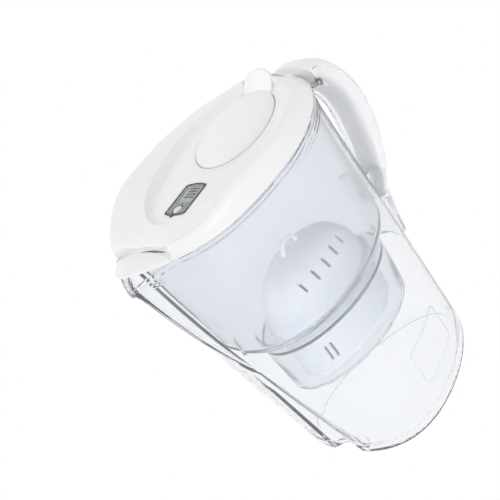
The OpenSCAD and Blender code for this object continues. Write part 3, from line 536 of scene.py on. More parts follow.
# %% [markdown]
# The handle is a hook of two Bezier arcs in the plane of symmetry: from the rim over the top to the belly,
# and back in to the wall. The white insert is a tube along it, whose section is a superellipse. The clear rail
# is a channel that holds the insert from below, and it ends in a wedge that is moulded onto the jug.

# %% Line of the handle
GRIP_REACH, GRIP_TOP_H, GRIP_T, TIP_T, GRIP_HALF_W, ROOT_HALF_W = 45.2, 10.0, 18.5, 8.0, 14.0, 19.0
RAIL_T, LIP_T, LIP_H, FIT, GRIP_ROUND, RAIL_ROUND = 3.6, 1.9, 12.0, 0.3, 0.72, 0.4
GRIP_X, ROOT_X, ROOT_Z, BELLY_Z = REAR_X + GRIP_REACH, REAR_X + 2.32, JUG_H + GRIP_TOP_H, 197.0
TIP = np.array([REAR_X + 7, 117.0])
ARCS = np.array([[[ROOT_X, ROOT_Z], [ROOT_X + 20, ROOT_Z + 0.5], [GRIP_X, BELLY_Z + 31], [GRIP_X, BELLY_Z]],
    [[GRIP_X, BELLY_Z], [GRIP_X, BELLY_Z - 37], TIP + [21, 24], TIP]])


def grip_line(u):
    """Point and outward normal at station u, 0 at the root, 1 at the belly, 2 at the tip: a cubic Bezier,
    (1-t)^3 P0 + 3 (1-t)^2 t P1 + 3 (1-t) t^2 P2 + t^3 P3, and its direction turned by 90 degrees."""
    arc = ARCS[np.where(u < 1, 0, 1)]
    t = np.where(u < 1, u, u - 1)[..., None]
    s = 1 - t
    p = [arc[..., i, :] for i in range(4)]
    at = s**3 * p[0] + 3 * s * s * t * p[1] + 3 * s * t * t * p[2] + t**3 * p[3]
    way = unit(s * s * (p[1] - p[0]) + 2 * s * t * (p[2] - p[1]) + t * t * (p[3] - p[2]))
    return at, points(-way[..., 1], way[..., 0])


def grip_size(u):
    """Depth and half width of the insert: full depth to just past the belly, less at the tip; widest at the
    root."""
    depth = np.where(u < 1, GRIP_T, lerp(GRIP_T, TIP_T, ease((u - 1.15) / 0.85)))
    half = np.where(u < 1, lerp(ROOT_HALF_W, GRIP_HALF_W, ease(u * 1.6)), GRIP_HALF_W - 2 * (u - 1))
    return depth, half


def on_grip(u, q, y):
    """Points at depth q along the outward normal of station u and at width y, in the frame."""
    at, normal = grip_line(np.broadcast_to(u, q.shape))
    p = at + normal * q[..., None]
    return points(p[..., 0], y, p[..., 1])


def grip_rings(u, share):
    """Sections of the insert at stations u, shrunk by share: q = t/2 (share cos^e a - 1) and
    y = -share w sin^e a, with the exponent e = 0.72."""
    a = 2 * np.pi * np.arange(64) / 64
    depth, half = [v[:, None] for v in grip_size(u)]
    k = share[:, None]
    q = depth / 2 * (k * spow(np.cos(a), GRIP_ROUND) - 1)
    return on_grip(u[:, None], q, -k * half * spow(np.sin(a), GRIP_ROUND))


end_turn = np.linspace(0, np.pi / 2, 10)[1:-1]
stations = joined([0.0, 0.0, 0.002, 0.006], np.linspace(0.02, 1.925, 70), 1.93 + 0.065 * np.sin(end_turn))
shares = joined([0.93, 0.97, 0.99, 1.0], np.ones(70), np.cos(end_turn))
insert = skin("handle_insert", grip_rings(stations, shares), sharp=50)

# %% Teardrop eyelet through the end of the insert
EYE_AT, EYE_L, EYE_W, EYE_REACH = 1.82, 4.5, 1.6, 20.0
eye_x, eye_z = grip_line(np.array(EYE_AT))[0]
a = np.linspace(0, 2 * np.pi, 40, endpoint=False)
drop_z, drop_y = EYE_L * np.cos(a) + 1.2, EYE_W * np.sin(a) * np.sin(a / 2) ** 0.8
eyelet = np.stack([points(eye_x + reach, drop_y, eye_z + drop_z) for reach in (-EYE_REACH, EYE_REACH)])
insert = carve(insert, skin("eyelet_cutter", eyelet), sharp=50)
insert = finish(insert, "jug", abs_white, "white_plastic", "handle_grip")

# %% [markdown]
# The rail's section is a channel: two half superellipses, one inside the other, run round as one closed line.
# At each end the two lines meet half way between, which closes the shell without a flat cap. The wedge below
# it fills the corner between the rail and the wall. Both are welded into one clear solid, as moulded, and a
# copy of the insert, grown by the fit, is taken out of it.

# %% Rail and wedge
def channel_rings(u, thick):
    """Channel sections at stations u. Outer line y = -w cos^0.4 a, q = top - (top - low) sin^0.4 a for a from
    0 to pi, then the inner line back. thick 1 is the full wall and 0 is its middle line."""
    a = np.linspace(0, np.pi, 49)[None]
    depth, half = [v[:, None] for v in grip_size(u)]
    q_in, w_in = -depth - FIT, half + FIT
    q_out, w_out = q_in - RAIL_T, w_in + LIP_T
    top = q_in + LIP_H * (1 - 0.5 * ease(u[:, None] - 0.9))
    k = 0.5 + thick[:, None] / 2
    lines = [(top - (top - low) * spow(np.sin(a), RAIL_ROUND), -w * spow(np.cos(a), RAIL_ROUND))
        for low, w in ((lerp(q_in, q_out, k), lerp(w_in, w_out, k)), (lerp(q_out, q_in, k), lerp(w_out, w_in, k)))]
    q, y = [joined(lines[0][i], lines[1][i][:, ::-1], axis=1) for i in (0, 1)]
    return on_grip(u[:, None], q, y)


rail_u = joined([0.0, 0.001], np.linspace(0.01, 1.74, 80), [1.75])
rail_thick = joined([0.0, 0.85], np.ones(80), [0.0])
rail = skin("handle_rail_clear", channel_rings(rail_u, rail_thick), caps=False)

WEDGE_HALF_W, WEDGE_SINK, ROOM_GROWTH = GRIP_HALF_W + LIP_T - 1, 0.25, 1.06
wedge_line = np.array([[1.2, 88], [2.5, 92], [8.7, 111], [15.2, 132], [16.6, 140], [15.0, 145], [4.0, 149]])
wedge_x, wedge_z = [v[:, None] for v in smooth_rows(wedge_line, 6).T]
across = np.linspace(-1, 1, 33)
outer_x = REAR_X + wedge_x * (1 - np.abs(across) ** 6 * 0.5)
share = np.abs(across) * WEDGE_HALF_W / lerp(FOOT_HALF_W, RIM_HALF_W, wedge_z / JUG_H)
wall_x = CENTRE_X + (REAR_X - CENTRE_X) * (1 - share ** REAR_POW) ** (1 / REAR_POW) + WEDGE_SINK
xs = joined(outer_x, wall_x[:, ::-1], axis=1)
wedge = skin("wedge", points(xs, joined(across, across[::-1]) * WEDGE_HALF_W, wedge_z))
room = skin("room", grip_rings(np.linspace(1.35, 1.995, 30), np.full(30, ROOM_GROWTH)))
rail = carve(weld(rail, wedge), room, sharp=40)
rail = finish(rail, "jug", san, "clear_plastic", "handle_rail")

# %% [markdown]
# The funnel hangs in the seat under the rim. Its walls follow the jug's outline, but a flatter front leaves
# the pouring channel open. Below the shoulder its floor draws in to an oval well, which holds the cartridge.
# The skin is a closed loop: down the outside, round the outlet, and up the inside. Each oval ring has its
# points at angles that match the outline's, so that the two kinds of ring join without a twist.

# %% Funnel
FUNNEL_WALL, FUNNEL_GAP, FUNNEL_FRONT_X, FUNNEL_DRAFT, SHOULDER_H = 1.8, 1.0, 84.0, 2.0, 133.0
WELL_X, WELL_A, WELL_B, WELL_Z = 5.0, 67.0, 46.0, 68.0
CART_A, CART_B, CART_GAP, FLANGE_T = 52.5, 31.0, 0.7, 2.2
COLLAR_Z, CART_SEAT_Z = SHOULDER_H - 15, SHOULDER_H - 21
CUT_END = 150.0
oval_t = np.radians(joined(CUT_END * np.arange(SIDE + 1) / SIDE,
    CUT_END + (360 - 2 * CUT_END) * np.arange(1, FRONT) / FRONT, -CUT_END * np.arange(SIDE, 0, -1) / SIDE))


def ovals(*rows, a=WELL_A, b=WELL_B):
    """Oval rings about the well's axis, (x + a cos t, b sin t, z), for rows (added to a, added to b, z)."""
    da, db, z = np.array(rows, float).T[..., None]
    return points(WELL_X + (a + da) * np.cos(oval_t), (b + db) * np.sin(oval_t), z)


def funnel_rings(z, w, t=0.0):
    """The jug's outline moved in by w and cut straight across at the funnel's front, which stands back by t."""
    z, w = [np.atleast_1d(np.asarray(v, float)) for v in (z, w)]
    shape = plan(np.minimum(z, SEAT_Z), w)
    share = np.minimum(0.975, (FUNNEL_FRONT_X - t + CENTRE_X) / shape[0])
    return cut_ring(shape, shape[2] * (1 - share ** shape[3]) ** (1 / shape[3]), -1.5, z)


def funnel_w(z):
    """How far the funnel's outside stands in from the jug's: a gap, and a draft that grows downward."""
    return JUG_WALL + FUNNEL_GAP + FUNNEL_DRAFT * (SEAT_Z - z) / (SEAT_Z - SHOULDER_H)


FLANGE_W, FLANGE_Z = BAND_WALL - BAND_OUT + 0.4, SEAT_Z + FLANGE_T
w_low, w_top = funnel_w(SHOULDER_H), funnel_w(SEAT_Z) + FUNNEL_WALL
side_z = np.linspace(SEAT_Z - 1.5, SHOULDER_H, 14)
flange = funnel_rings([FLANGE_Z, FLANGE_Z - 0.4, SEAT_Z + 0.05, SEAT_Z],
    [FLANGE_W + 0.4, FLANGE_W, FLANGE_W, FLANGE_W + 0.3], -1.5)
bend = SHOULDER_H + 4
well_outside = smooth_rows(joined(funnel_rings(bend, funnel_w(bend)), funnel_rings(SHOULDER_H, w_low),
    0.5 * (funnel_rings(SHOULDER_H - 6, w_low) + ovals((3, 3, COLLAR_Z + 7))),
    ovals((1.2, 1.2, COLLAR_Z + 4), (0, 0, COLLAR_Z))), 4)
well_foot = smooth_rows(joined(ovals((0, 0, COLLAR_Z), (-1.8, -1.4, 92),
    (-3.2, -2.4, WELL_Z + 5), (-4.4, -3.6, WELL_Z + 1.4), (-7, -6, WELL_Z)),
    ovals((-3, -3, WELL_Z), a=CART_A, b=CART_B)), 4)[4:]
well_inside = joined(ovals((-3, -3, WELL_Z + FUNNEL_WALL), a=CART_A, b=CART_B),
    ovals((-8, -7, WELL_Z + FUNNEL_WALL), (-6, -5.2, WELL_Z + 3), (-5, -4.2, WELL_Z + 6),
        (-2.4, -2.3, CART_SEAT_Z - 3)),
    ovals((CART_GAP, CART_GAP, CART_SEAT_Z - 3), (CART_GAP, CART_GAP, CART_SEAT_Z), a=CART_A, b=CART_B),
    ovals((-2.1, -2.1, CART_SEAT_Z)))
bend = SHOULDER_H + 6
floor_inside = smooth_rows(joined(ovals((-1.8, -1.8, COLLAR_Z + 0.8), (-0.8, -0.8, COLLAR_Z + 5.4)),
    0.5 * (funnel_rings(SHOULDER_H - 4.4, w_low + FUNNEL_WALL, FUNNEL_WALL) + ovals((1, 1, COLLAR_Z + 8.6))),
    funnel_rings(SHOULDER_H + 1.6, w_low + FUNNEL_WALL, FUNNEL_WALL),
    funnel_rings(bend, funnel_w(bend) + FUNNEL_WALL, FUNNEL_WALL)), 4)
upper = side_z[::-1][1:]
funnel_stack = joined(flange, funnel_rings(side_z, funnel_w(side_z))[:-1], well_outside[1:], well_foot,
    well_inside, floor_inside, funnel_rings(upper, funnel_w(upper) + FUNNEL_WALL, FUNNEL_WALL),
    funnel_rings([FLANGE_Z - 0.3, FLANGE_Z], [w_top, w_top - 0.3], FUNNEL_WALL))
funnel = finish(skin("funnel_frosted", funnel_stack, loop=True), "funnel", frosted, "frosted_plastic", "funnel")

# %% [markdown]
# The cartridge stands in the well. Its housing is a plain oval cup with outlet slots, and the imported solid
# has the right shape for it, so it only gets its finish, as do the seal, the meshes and the media. Its cap is
# a smooth dome with inlet slots and a pull ring, and that is worked out anew.

# %% Cartridge cap
CART_TOP_Z, DOME_H, CART_WALL, SLOTS, SLOT_PITCH, PULL_R, PULL_T = CART_SEAT_Z + 3.4, 42.0, 1.6, 5, 13, 9, 1.8
DOME = [[0, 1], [0.25, 0.985], [0.45, 0.93], [0.65, 0.83], [0.8, 0.7], [0.92, 0.5], [0.985, 0.26], [1, 0.1]]


def dome_stack(off):
    """Oval rings at the dome's shares of its height and its size, smoothed between, and moved out by off."""
    a, b, h = CART_A + off, CART_B + off, DOME_H + off
    return smooth_rows(ovals(*[(a * s, b * s, CART_TOP_Z + h * k) for k, s in DOME], a=0, b=0), 4)


cap = skin("cartridge_cap_dome", joined(dome_stack(-CART_WALL)[::-1], dome_stack(0)))
slot_line = round_rect(0, CART_TOP_Z + DOME_H * 0.5 + 4.5, 1.2, 4.5, 1.1, 6)
cutters = []
for side in (-1, 1):
    for i in range(SLOTS):
        x = WELL_X + SLOT_PITCH * (i - SLOTS // 2) + slot_line[:, 0]
        cutters.append(skin("slot_cutter", np.stack([points(x, side * CART_B * k, slot_line[:, 1])
            for k in (0.6, 1.1)])))
cap = carve(cap, *cutters)
u = np.linspace(0, np.pi, 33)[:, None]
a = 2 * np.pi * np.arange(20)[None] / 20
ring_r = PULL_R + PULL_T * np.cos(a)
pull = skin("pull_ring", points(WELL_X + ring_r * np.cos(u), PULL_T * np.sin(a),
    CART_TOP_Z + DOME_H - 1 + ring_r * np.sin(u)))
cap = finish(join(cap, pull), "cartridge", pp_white, "frosted_plastic", "cartridge_cap")

# %% Finishes of the solids that are taken over
def dress(**finishes):
    """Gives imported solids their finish."""
    for node, made in finishes.items():
        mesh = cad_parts[node].data
        mesh.materials.clear()
        mesh.materials.append(made)
        print(node, "->", made.name)


dress(cartridge_housing=pp_white, cartridge_seal=silicone, inlet_mesh=nylon_mesh, outlet_mesh=nylon_mesh,
    filter_media=granules)

# %% [markdown]
# The lid is one skin too: up the outer skirt to the crest, down the basin's wall, across its floor to the
# hole, round the ledge, and back under everything to a thin rib that centres the lid in the funnel. Every
# ring takes its points at the same steps of the outline, so a side, a rear and an arc profile can be mixed
# point by point. The thumb tab's recess, the indicator's seat and the pour cover's bores are cut afterwards.

# %% Lid profiles
LID_Z, ARC_BOW, CREST_H, LID_WALL = JUG_H + 0.3, 7.4, 19.7, 2.2
BASIN_X, BASIN_A, BASIN_B, FLOOR_X, FLOOR_A, FLOOR_B, FLOOR_H = -0.4, 72.1, 52.6, 2.0, 65.6, 46.0, 7.2
FLAP_X, FLAP_A, FLAP_B, FLAP_GAP, FLAP_LEDGE, FLAP_T = 26.7, 37.4, 34.3, 0.5, 3.0, 2.0
LEVEL_SLOPE, BASIN_SLOPE, BEND_X, BEND_R = 0.01, 0.127, -10.0, 12.0
MEAN, BEND = (LEVEL_SLOPE + BASIN_SLOPE) / 2, (BASIN_SLOPE - LEVEL_SLOPE) / 2


def floor_z(x):
    """Height of the basin floor: two slopes joined by a hyperbola, m x + n (sqrt(x^2 + r^2) - r)."""
    return JUG_H + FLOOR_H + MEAN * (x - BEND_X) + BEND * (np.hypot(x - BEND_X, BEND_R) - BEND_R)


lid_line = cut_ring(plan(JUG_H, -BAND_OUT), LIP_HALF_W, ARC_BOW, LID_Z)[0, :, :2]
ARC_X, LID_N = lid_line[SIDE, 0], len(lid_line)
steps = np.arange(LID_N)
at_arc = np.clip((steps - SIDE) / FRONT, 0, 1)
at_arc = ease((1 - np.abs(1 - 2 * at_arc)) * 1.6)[:, None]
at_rear = 1 - ease((np.minimum(steps, LID_N - steps) * 20 / SIDE - 2) / 5)[:, None]
side_share = 1 - 9 / CREST_H * ease((-lid_line[:, 0] - 45) / 50)
basin_edge = points(BASIN_X + BASIN_A * np.cos(oval_t), BASIN_B * np.sin(oval_t))
basin_foot = points(FLOOR_X + FLOOR_A * np.cos(oval_t), FLOOR_B * np.sin(oval_t))
edge_z = LID_Z + 15.1 + 0.078 * (basin_edge[:, 0] - BASIN_X) + 3.2 * at_rear[:, 0]


def stack(ring, *rows):
    """Rings made one by one from rows of arguments."""
    return np.stack([ring(*row) for row in rows])


def skirt(side, rear, arc):
    """A ring of the skirt. A profile gives (way in, height) for the side, the rear and the arc."""
    p = points(side[0], side[1] * side_share)
    p = lerp(lerp(p, np.array(rear), at_rear), np.array(arc), at_arc)
    return joined(lid_line + unit(basin_edge - lid_line) * p[:, :1], LID_Z + p[:, 1:], axis=1)


def basin(k, kz, out=0.0, low=0.0):
    """A ring of the basin's wall, k of the way from its edge to its foot and kz of the way down."""
    c = lerp(basin_edge, basin_foot, k) + unit(basin_edge) * out
    return points(*c.T, lerp(edge_z, floor_z(basin_foot[:, 0]), kz) - low)


def hole(off, low=0.0):
    """A ring of the hole under the flap: (x0 + (a + off) cos t, (b + off) sin t, floor - low)."""
    x = FLAP_X + (FLAP_A + off) * np.cos(oval_t)
    return points(x, (FLAP_B + off) * np.sin(oval_t), floor_z(x) - low)


def floor_ring(k, low=0.0):
    """A ring of the floor, k of the way from the basin's foot to the hole."""
    c = lerp(basin_foot, hole(FLAP_GAP + 0.5)[:, :2], k)
    return points(*c.T, floor_z(c[:, 0]) - low)


def rib(t):
    """The rib's foot: the funnel's inner outline moved in by a gap and by t. It stays short at the spout."""
    nose, rear, half, power = shape = plan(JUG_H, JUG_WALL + FUNNEL_GAP + FUNNEL_WALL + 0.6 + t)
    share = np.minimum(0.975, (CENTRE_X - ARC_X - 9.4 - t) / nose)
    ring = cut_ring(shape, half * (1 - share ** power) ** (1 / power), ARC_BOW, 0.0)[0]
    ring[:, 2] = LID_Z - 1.6 - 2.6 * ease((ring[:, 0] + 66) / 10)
    return ring


c, top, drop, gap = CREST_H, CREST_H - LID_WALL, FLAP_T + 0.15, FLAP_GAP
wall = [(0, 0), (0.3, 0.62), (0.65, 0.92)]
out_rows = smooth_rows(joined(stack(skirt, ([0.25, 0.8], [0.3, 0.8], [2.4, 0.8]),
    ([0.3, c / 2], [1.5, 2.5], [2.6, 2.5]), ([1.4, c * 0.76], [5, 6.5], [2.6, 4.6]),
    ([3.6, c * 0.92], [10, 11.5], [0.5, 5.5]), ([6, c * 0.985], [17, 18], [6, 7.8]),
    ([8.6, c], [21.5, 22.3], [12, 9.2])), stack(basin, wall[0], (0.14, 0.24), *wall[1:], (1, 1))), 4)
floor_rows = stack(floor_ring, (0.15,), (0.35,), (0.55,), (0.75,), (1.0,))
ledge = stack(hole, (gap + 0.3, 0.1), (gap, 0.5), (gap, drop), (0.3 - FLAP_LEDGE, drop),
    (-FLAP_LEDGE, drop + 0.3), (-FLAP_LEDGE, drop + LID_WALL), (gap + 1.6, drop + LID_WALL))
floor_under = stack(floor_ring, *[(k, LID_WALL) for k in (0.72, 0.55, 0.4, 0.2)])
under = smooth_rows(joined(stack(basin, (0.97, 1, 0.6, LID_WALL), (*wall[2], 0.9, LID_WALL),
    (*wall[1], 1.6, LID_WALL), (*wall[0], 1.6, LID_WALL)),
    stack(skirt, ([11.6, top * 0.98], [11.6, 9], [11.6, 7]))), 3)
inside = smooth_rows(stack(skirt, ([7.6, top * 0.98], [7.6, 5.9], [7.6, 6]),
    ([6.4, top * 0.95], [6.4, 4.8], [6.4, 5.7]), ([4.4, top * 0.86], [4.9, 3.2], [4.4, 5]),
    ([2.6, top * 0.5], [3.6, 1.2], [4.2, 3.6]), ([LID_WALL, 0.3], [3.2, 0.3], [4.2, 0.3])), 3)
foot = stack(skirt, ([LID_WALL - 0.3, 0], [2.9, 0], [3.9, 0]), ([0.3, 0], [0.3, 0], [2.7, 0]),
    ([0.05, 0.25], [0.05, 0.25], [2.4, 0.25]))
lid = skin("lid_white", joined(out_rows, floor_rows, ledge, floor_under, under, stack(rib, (1.6,), (0,)),
    inside, foot), loop=True)
print("Lid rings:", len(lid.data.vertices) // LID_N, "of", LID_N)

# %% Recess of the thumb tab and ears of the pour cover
HINGE_X = FLAP_X + FLAP_A - 3.1
HINGE_Z = floor_z(HINGE_X) - 1.3
TAB_HALF_W, TAB_H, TAB_T, TAB_LEAN, PIN_R, PIN_GAP = 15.5, 19.8, 3.2, 48.0, 1.3, 0.2
POCKET_W, POCKET_WALL, POCKET_LOW = TAB_HALF_W + 0.6, 2.4, TAB_T + 0.6
PINS_W = POCKET_W + POCKET_WALL
POCKET_END = np.hypot(TAB_H, TAB_T) + 0.6
RISE = np.tan(np.radians(8))
AT_HINGE = upright(HINGE_X, HINGE_Z)
COVER_PIN = (ARC_X - 1.8, LID_Z + 1.2)
tub = [[-3, -POCKET_LOW - 2], [2, -POCKET_LOW - 2], [POCKET_END + 2.5, RISE * POCKET_END - POCKET_LOW - 2],
    [POCKET_END + 1.5, RISE * POCKET_END - POCKET_LOW + 0.6], [11, 3.6], [5, 0.4], [-3, 0.4]]
pocket = [[-4, -POCKET_LOW], [2, -POCKET_LOW], [POCKET_END - 1.2, RISE * (POCKET_END - 1.2) - POCKET_LOW],
    [POCKET_END - 0.3, RISE * POCKET_END - POCKET_LOW + 0.9], [POCKET_END, RISE * POCKET_END - POCKET_LOW + 3],
    [POCKET_END, 30], [-4, 30]]
parts = [plate("tub", tub, -PINS_W, PINS_W, 0.5, AT_HINGE)]
ear = [[-1.8, 0], [3.2, 0], [3.2, 1.9], [1.8, 2.5], [-0.6, 2.5], [-1.8, 1.4]]
for side in (-1, 1):
    parts.append(plate("ear", ear, -0.8, 0.8, 0.25, upright(ARC_X - 1.2, LID_Z, side * (LIP_HALF_W - 0.8))))
lid = weld(lid, *parts, sharp=30)


def on_floor(x):
    """Placement square to the basin floor at x: the slope is the derivative of floor_z."""
    slope = MEAN + BEND * (x - BEND_X) / np.hypot(x - BEND_X, BEND_R)
    return tilted(x, floor_z(x), np.arctan(slope))


IND_L, IND_W, IND_X, IND_DEPTH = 33.4, 22.6, -42.8, 6.0
SEAT = on_floor(IND_X)


def bezel(inset, r=1.6):
    """Outline of the indicator: x = l - 1.8 k^2 at share k of the half width, straight sides, rounded corners."""
    half_l, half_w = IND_L / 2 - inset, IND_W / 2 - inset
    k = np.linspace(-1, 1, 21) * (1 - r / half_w)
    end = points(half_l - 1.8 * k ** 2, half_w * k)
    t = np.linspace(0, 1, 8)[1:, None]
    tip, stop = np.array([half_l - 1.8, half_w]), np.array([half_l - 1.8 - r, half_w])
    arc = lerp(lerp(end[-1:], tip, t), lerp(tip, stop, t), t)
    right = joined((arc * [1, -1])[::-1], end, arc)
    return joined(right, -right)


cutters = [plate("pocket", pocket, -POCKET_W, POCKET_W, 0, AT_HINGE),
    plate("hinge_bore", circle(PIN_R + PIN_GAP), 0.5 - PINS_W, PINS_W - 0.5, 0, AT_HINGE),
    plate("indicator_seat", bezel(0.35), -10, 12, 0, SEAT)]
for side in (-1, 1):
    cutters.append(plate("cover_bore", circle(0.9), -2, 2, 0, upright(*COVER_PIN, side * (LIP_HALF_W - 0.6))))
lid = finish(carve(lid, *cutters, sharp=30), "lid", abs_white, "white_plastic", "lid_shell")

# %% [markdown]
# The flip flap closes the filling hole: a shallow dome on a thin disc, with a leaning thumb tab and a hinge
# barrel at its rear edge. Its underside is hollow, so the dome and the disc keep one wall thickness. The tab
# is a plate with a round end, and its edges are eased the way a moulded part is.

# %% Flip flap
dome = np.array([[1, 0.3], [0.992, 0.75], [0.972, 1.15], [0.93, 1.95], [0.8, 3.9], [0.6, 5.5], [0.35, 6.6],
    [0.12, 6.95]])
over = smooth_rows(dome, 4)
below = smooth_rows(points(np.minimum(dome[:, 0], 0.93), dome[:, 1] - FLAP_T)[3:], 4)[::-1]
rim = np.array([[0.972, -FLAP_T], [0.985, -FLAP_T], [0.996, 0.3 - FLAP_T], [1, 0.8 - FLAP_T]])
k, up = joined(below, rim, over).T[..., None]
t = np.radians(np.arange(0, 360, 2))
x = FLAP_X + k * (FLAP_A - 0.3) * np.cos(t)
flap = skin("flap_white", points(x, k * (FLAP_B - 0.3) * np.sin(t), floor_z(x) + up))
box = [[-3.3, -5], [4.7, -5], [4.7, 0.7], [-3.3, 0.7]]
flap = carve(flap, *[plate("room", box, -1.5, 1.5, 0, upright(HINGE_X, HINGE_Z, side * (POCKET_W + POCKET_WALL / 2)))
    for side in (-1, 1)])
a = np.radians(np.arange(-75, 76, 7.5))
q = np.radians(np.arange(0, 91, 15))
foot_corner = points(0.4 - 1.6 * np.cos(q), 1.6 - 1.6 * np.sin(q) - TAB_HALF_W)
crown = points(TAB_H * (0.42 + 0.58 * np.cos(a)), TAB_HALF_W * np.sin(a))
shoulder = np.array([[TAB_H * 0.42, -TAB_HALF_W]])
tab = joined(foot_corner, shoulder, crown, shoulder * [1, -1], (foot_corner * [1, -1])[::-1])
tab = plate("tab", dense(tab, 0.8), -TAB_T, 0, 1.3, tilted(HINGE_X, HINGE_Z, np.radians(TAB_LEAN)), 6)
barrel = plate("barrel", circle(1.9), -TAB_HALF_W, TAB_HALF_W, 0.3, AT_HINGE)
pins = plate("pins", circle(PIN_R), 0.8 - PINS_W, PINS_W - 0.8, 0.3, AT_HINGE)
flap = finish(weld(flap, tab, barrel, pins), "flap", abs_white, "white_plastic", "flip_flap")

# %% [markdown]
# The pour cover is a small crowned shield over the lip. Its outline in plan is the lid's arc, moved forward by
# a gap, and the curve of the lip. Rings of that outline shrink toward its middle, and each point takes its
# height from where it lies between the arc (u = 0) and the front edge (u = 1).

# %% Pour cover
COVER_HALF_W, COVER_T, COVER_EDGE = LIP_HALF_W - 2.0, 1.8, 0.7


def cover_back(k):
    """The rear edge at share k of the half width: the arc's bow, moved forward by 1.3 mm + 1.1 mm * (1 - k^2)."""
    return ARC_X + ARC_BOW * (1 - (k * COVER_HALF_W / LIP_HALF_W) ** 2) - 1.3 - 1.1 * (1 - k * k)


def cover_front(k):
    """The front edge: arc - reach * (1 - |y / half width|^1.5), at least 1.2 mm before the rear edge."""
    reach = LIP_X + 0.4 + ARC_X
    return np.minimum(cover_back(k) - 1.2, ARC_X - reach * (1 - np.abs(k * COVER_HALF_W / LIP_HALF_W) ** 1.5))


def cover_rings(outline, lift):
    """Rings of plan points, lifted over the underside: 0.2 + lerp(1.5 c, 6.4 (1 - |k|^1.2), u) + 1.4 c sin(pi u),
    with c = 1 - k^2."""
    x, y = outline[..., 0], outline[..., 1]
    k = np.clip(y / COVER_HALF_W, -1, 1)
    u = np.clip((cover_back(k) - x) / (cover_back(k) - cover_front(k)), 0, 1)
    c = 1 - k * k
    z = 0.2 + lerp(1.5 * c, 6.4 * (1 - np.abs(k) ** 1.2), u) + 1.4 * np.sin(np.pi * u) * c
    return points(x, y, LID_Z + z + lift)


k = np.sin(np.linspace(-np.pi / 2, np.pi / 2, 61))
line = dense(joined(points(cover_back(k), k * COVER_HALF_W),
    points(cover_front(k[::-1]), k[::-1] * COVER_HALF_W)), 0.9)
a = np.linspace(0, np.pi / 2, 5)[:, None, None]
lower = line - outward(line) * COVER_EDGE * (1 - np.sin(a))
rise = COVER_EDGE * (1 - np.cos(a[:, 0]))
middle = np.array([ARC_X - 9.0, 0.0])
flat = middle + (lower[:1] - middle) * np.linspace(0.04, 0.97, 14)[:, None, None]
cover = skin("pour_cover_white", joined(cover_rings(flat, 0.0), cover_rings(lower, rise),
    cover_rings(lower[::-1], COVER_T - rise[::-1]), cover_rings(flat[::-1], COVER_T)), sharp=50)
parts = []
for side in (-1, 1):
    parts.append(plate("barrel", circle(0.95), -1, 1, 0.2, upright(*COVER_PIN, side * (COVER_HALF_W - 1))))
    parts.append(plate("pin", circle(0.7), -1.7, 1.7, 0.15, upright(*COVER_PIN, side * (COVER_HALF_W - 0.2))))
cover = finish(weld(cover, *parts), "pour_cover", abs_white, "white_plastic", "pour_cover")

# %% [markdown]
# The filter indicator sits in the floor of the basin: a dark frame, a clear window over a grey face, a
# display with four bars, and a round start button. Its pieces are stacked plates with eased edges, all square
# to the floor. The two large flat faces keep every edge sharp, because shading that is smoothed round a rim
# would bend the light on them. The board, the cell and the contacts only get their finish.

# %% Indicator
LCD_L, LCD_X, BUTTON_X, BUTTON_R, BAR_PITCH, NUB_R = 16.2, 5.0, -10.4, 3.8, 2.9, 1.8
BOARD_Z = 3.6 - IND_DEPTH
LCD_Z, WINDOW_Z, WINDOW_TOP, BUTTON_Z = BOARD_Z + 1.5, BOARD_Z + 2.4, BOARD_Z + 2.85, BOARD_Z + 1.7
FLAT = 8.0


def through(outline):
    """A cutter through everything in the indicator's seat."""
    return plate("through", outline, -12, 12, 0, SEAT)


case = plate("case", bezel(0.5), -IND_DEPTH, 0.4, 0.4, SEAT)
case = weld(case, plate("frame", bezel(0.1), 0.05, 0.62, 0.25, SEAT, 6))
case = carve(case, plate("cavity", bezel(1.15), 1 - IND_DEPTH, 12, 0, SEAT))
case = weld(case, plate("nub", circle(NUB_R, 40, 0.2 - IND_L / 2) + [0, 1.2], 0.05, 0.7, 0.25, SEAT))
case = finish(case, "lid", abs_grey, "grey_plastic", "indicator_case")
window = plate("window", bezel(1.3), WINDOW_Z, WINDOW_TOP, 0.1, SEAT)
window = carve(window, through(circle(BUTTON_R + 0.6, 64, BUTTON_X)), sharp=FLAT)
window = finish(window, "lid", window_clear, "window_plastic", "indicator_window")
screen = round_rect(LCD_X, 0, LCD_L / 2, IND_W * 0.32, 0.5, 5)
face = plate("display_face", bezel(1.3), LCD_Z + 0.5, LCD_Z + 0.82, 0.05, SEAT)
face = carve(face, through(screen), through(circle(BUTTON_R + 0.8, 64, BUTTON_X)), sharp=FLAT)
face = finish(face, "lid", face_grey, "grey_plastic")
screen = finish(plate("display", screen, LCD_Z, LCD_Z + 0.6, 0.1, SEAT), "lid", lcd_grey, "lcd_glass", "lcd_panel")
bars = [plate("bar", round_rect(LCD_X - LCD_L / 2 + 5.4 + BAR_PITCH * i, -1.3, 0.85, IND_W * 0.21, 0.15, 4),
    LCD_Z + 0.6, LCD_Z + 0.75, 0.03, SEAT) for i in range(4)]
bars = finish(join(*bars), "lid", lcd_dark, "lcd_ink", "lcd_bars")
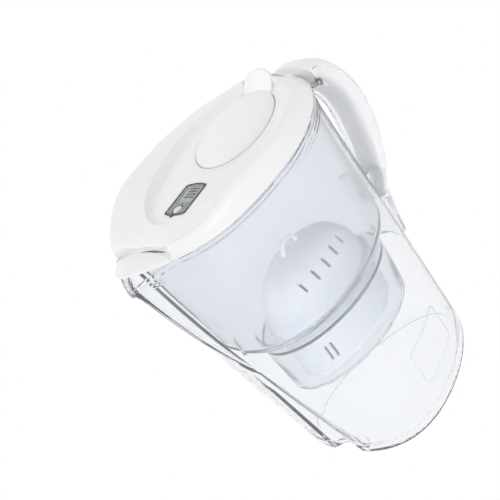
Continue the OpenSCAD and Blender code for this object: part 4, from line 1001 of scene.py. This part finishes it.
button = plate("start_button", circle(BUTTON_R, 72, BUTTON_X), BUTTON_Z, WINDOW_TOP + 0.1, 0.35, SEAT, 6)
button = finish(button, "button", silver, "button_steel", "start_button")
dress(circuit_board=board_green, contact_strip=rubber_dark, coin_cell=nickel, cell_contact=brass)

# %% [markdown]
# The pitcher floats in front of pure white. A plain white room does that: the world is white for the camera
# and in whatever shines or lets light through, and a little darker as a source of light. Two large area
# lights act as soft boxes: the key from above, and the fill from the camera's side.

# %% White room
world = bpy.data.worlds.new("white room")
bpy.context.scene.world = world
world.use_nodes = True
tree = world.node_tree
tree.nodes.remove(tree.nodes["Background"])
path = add(tree, "ShaderNodeLightPath")
shiny = add(tree, "ShaderNodeMath", {0: path.outputs["Is Glossy Ray"], 1: path.outputs["Is Transmission Ray"]},
    operation="MAXIMUM")
seen = add(tree, "ShaderNodeMath", {0: path.outputs["Is Camera Ray"], 1: shiny.outputs[0]}, operation="MAXIMUM")
plain = add(tree, "ShaderNodeBackground", Color=colour("#FFFFFF"), Strength=1.0)
soft = add(tree, "ShaderNodeBackground", Color=colour("#F8F8F9"), Strength=0.84)
mixed = add(tree, "ShaderNodeMixShader", {0: seen.outputs[0], 1: soft.outputs[0], 2: plain.outputs[0]})
tree.links.new(mixed.outputs[0], tree.nodes["World Output"].inputs[0])
print("world:", len(tree.nodes), "nodes")

# %% Soft boxes
MIDDLE = Vector((0.0, 0.0, 0.15))
for name, at, size, watts in (("key", (-0.55, 0.65, 0.95), 0.6, 2.2), ("fill", (-0.55, -1.0, 0.3), 0.7, 2.9)):
    light = bpy.data.lights.new(name, "AREA")
    light.shape, light.size, light.energy = "SQUARE", size, watts
    obj = bpy.data.objects.new(name, light)
    obj.location = at
    obj.rotation_euler = (MIDDLE - Vector(at)).to_track_quat("-Z", "Y").to_euler()
    bpy.context.scene.collection.objects.link(obj)

# %% [markdown]
# Last comes the colour handling. The Standard view keeps white paper white.

# %% Colour handling
bpy.context.scene.view_settings.view_transform = "Standard"
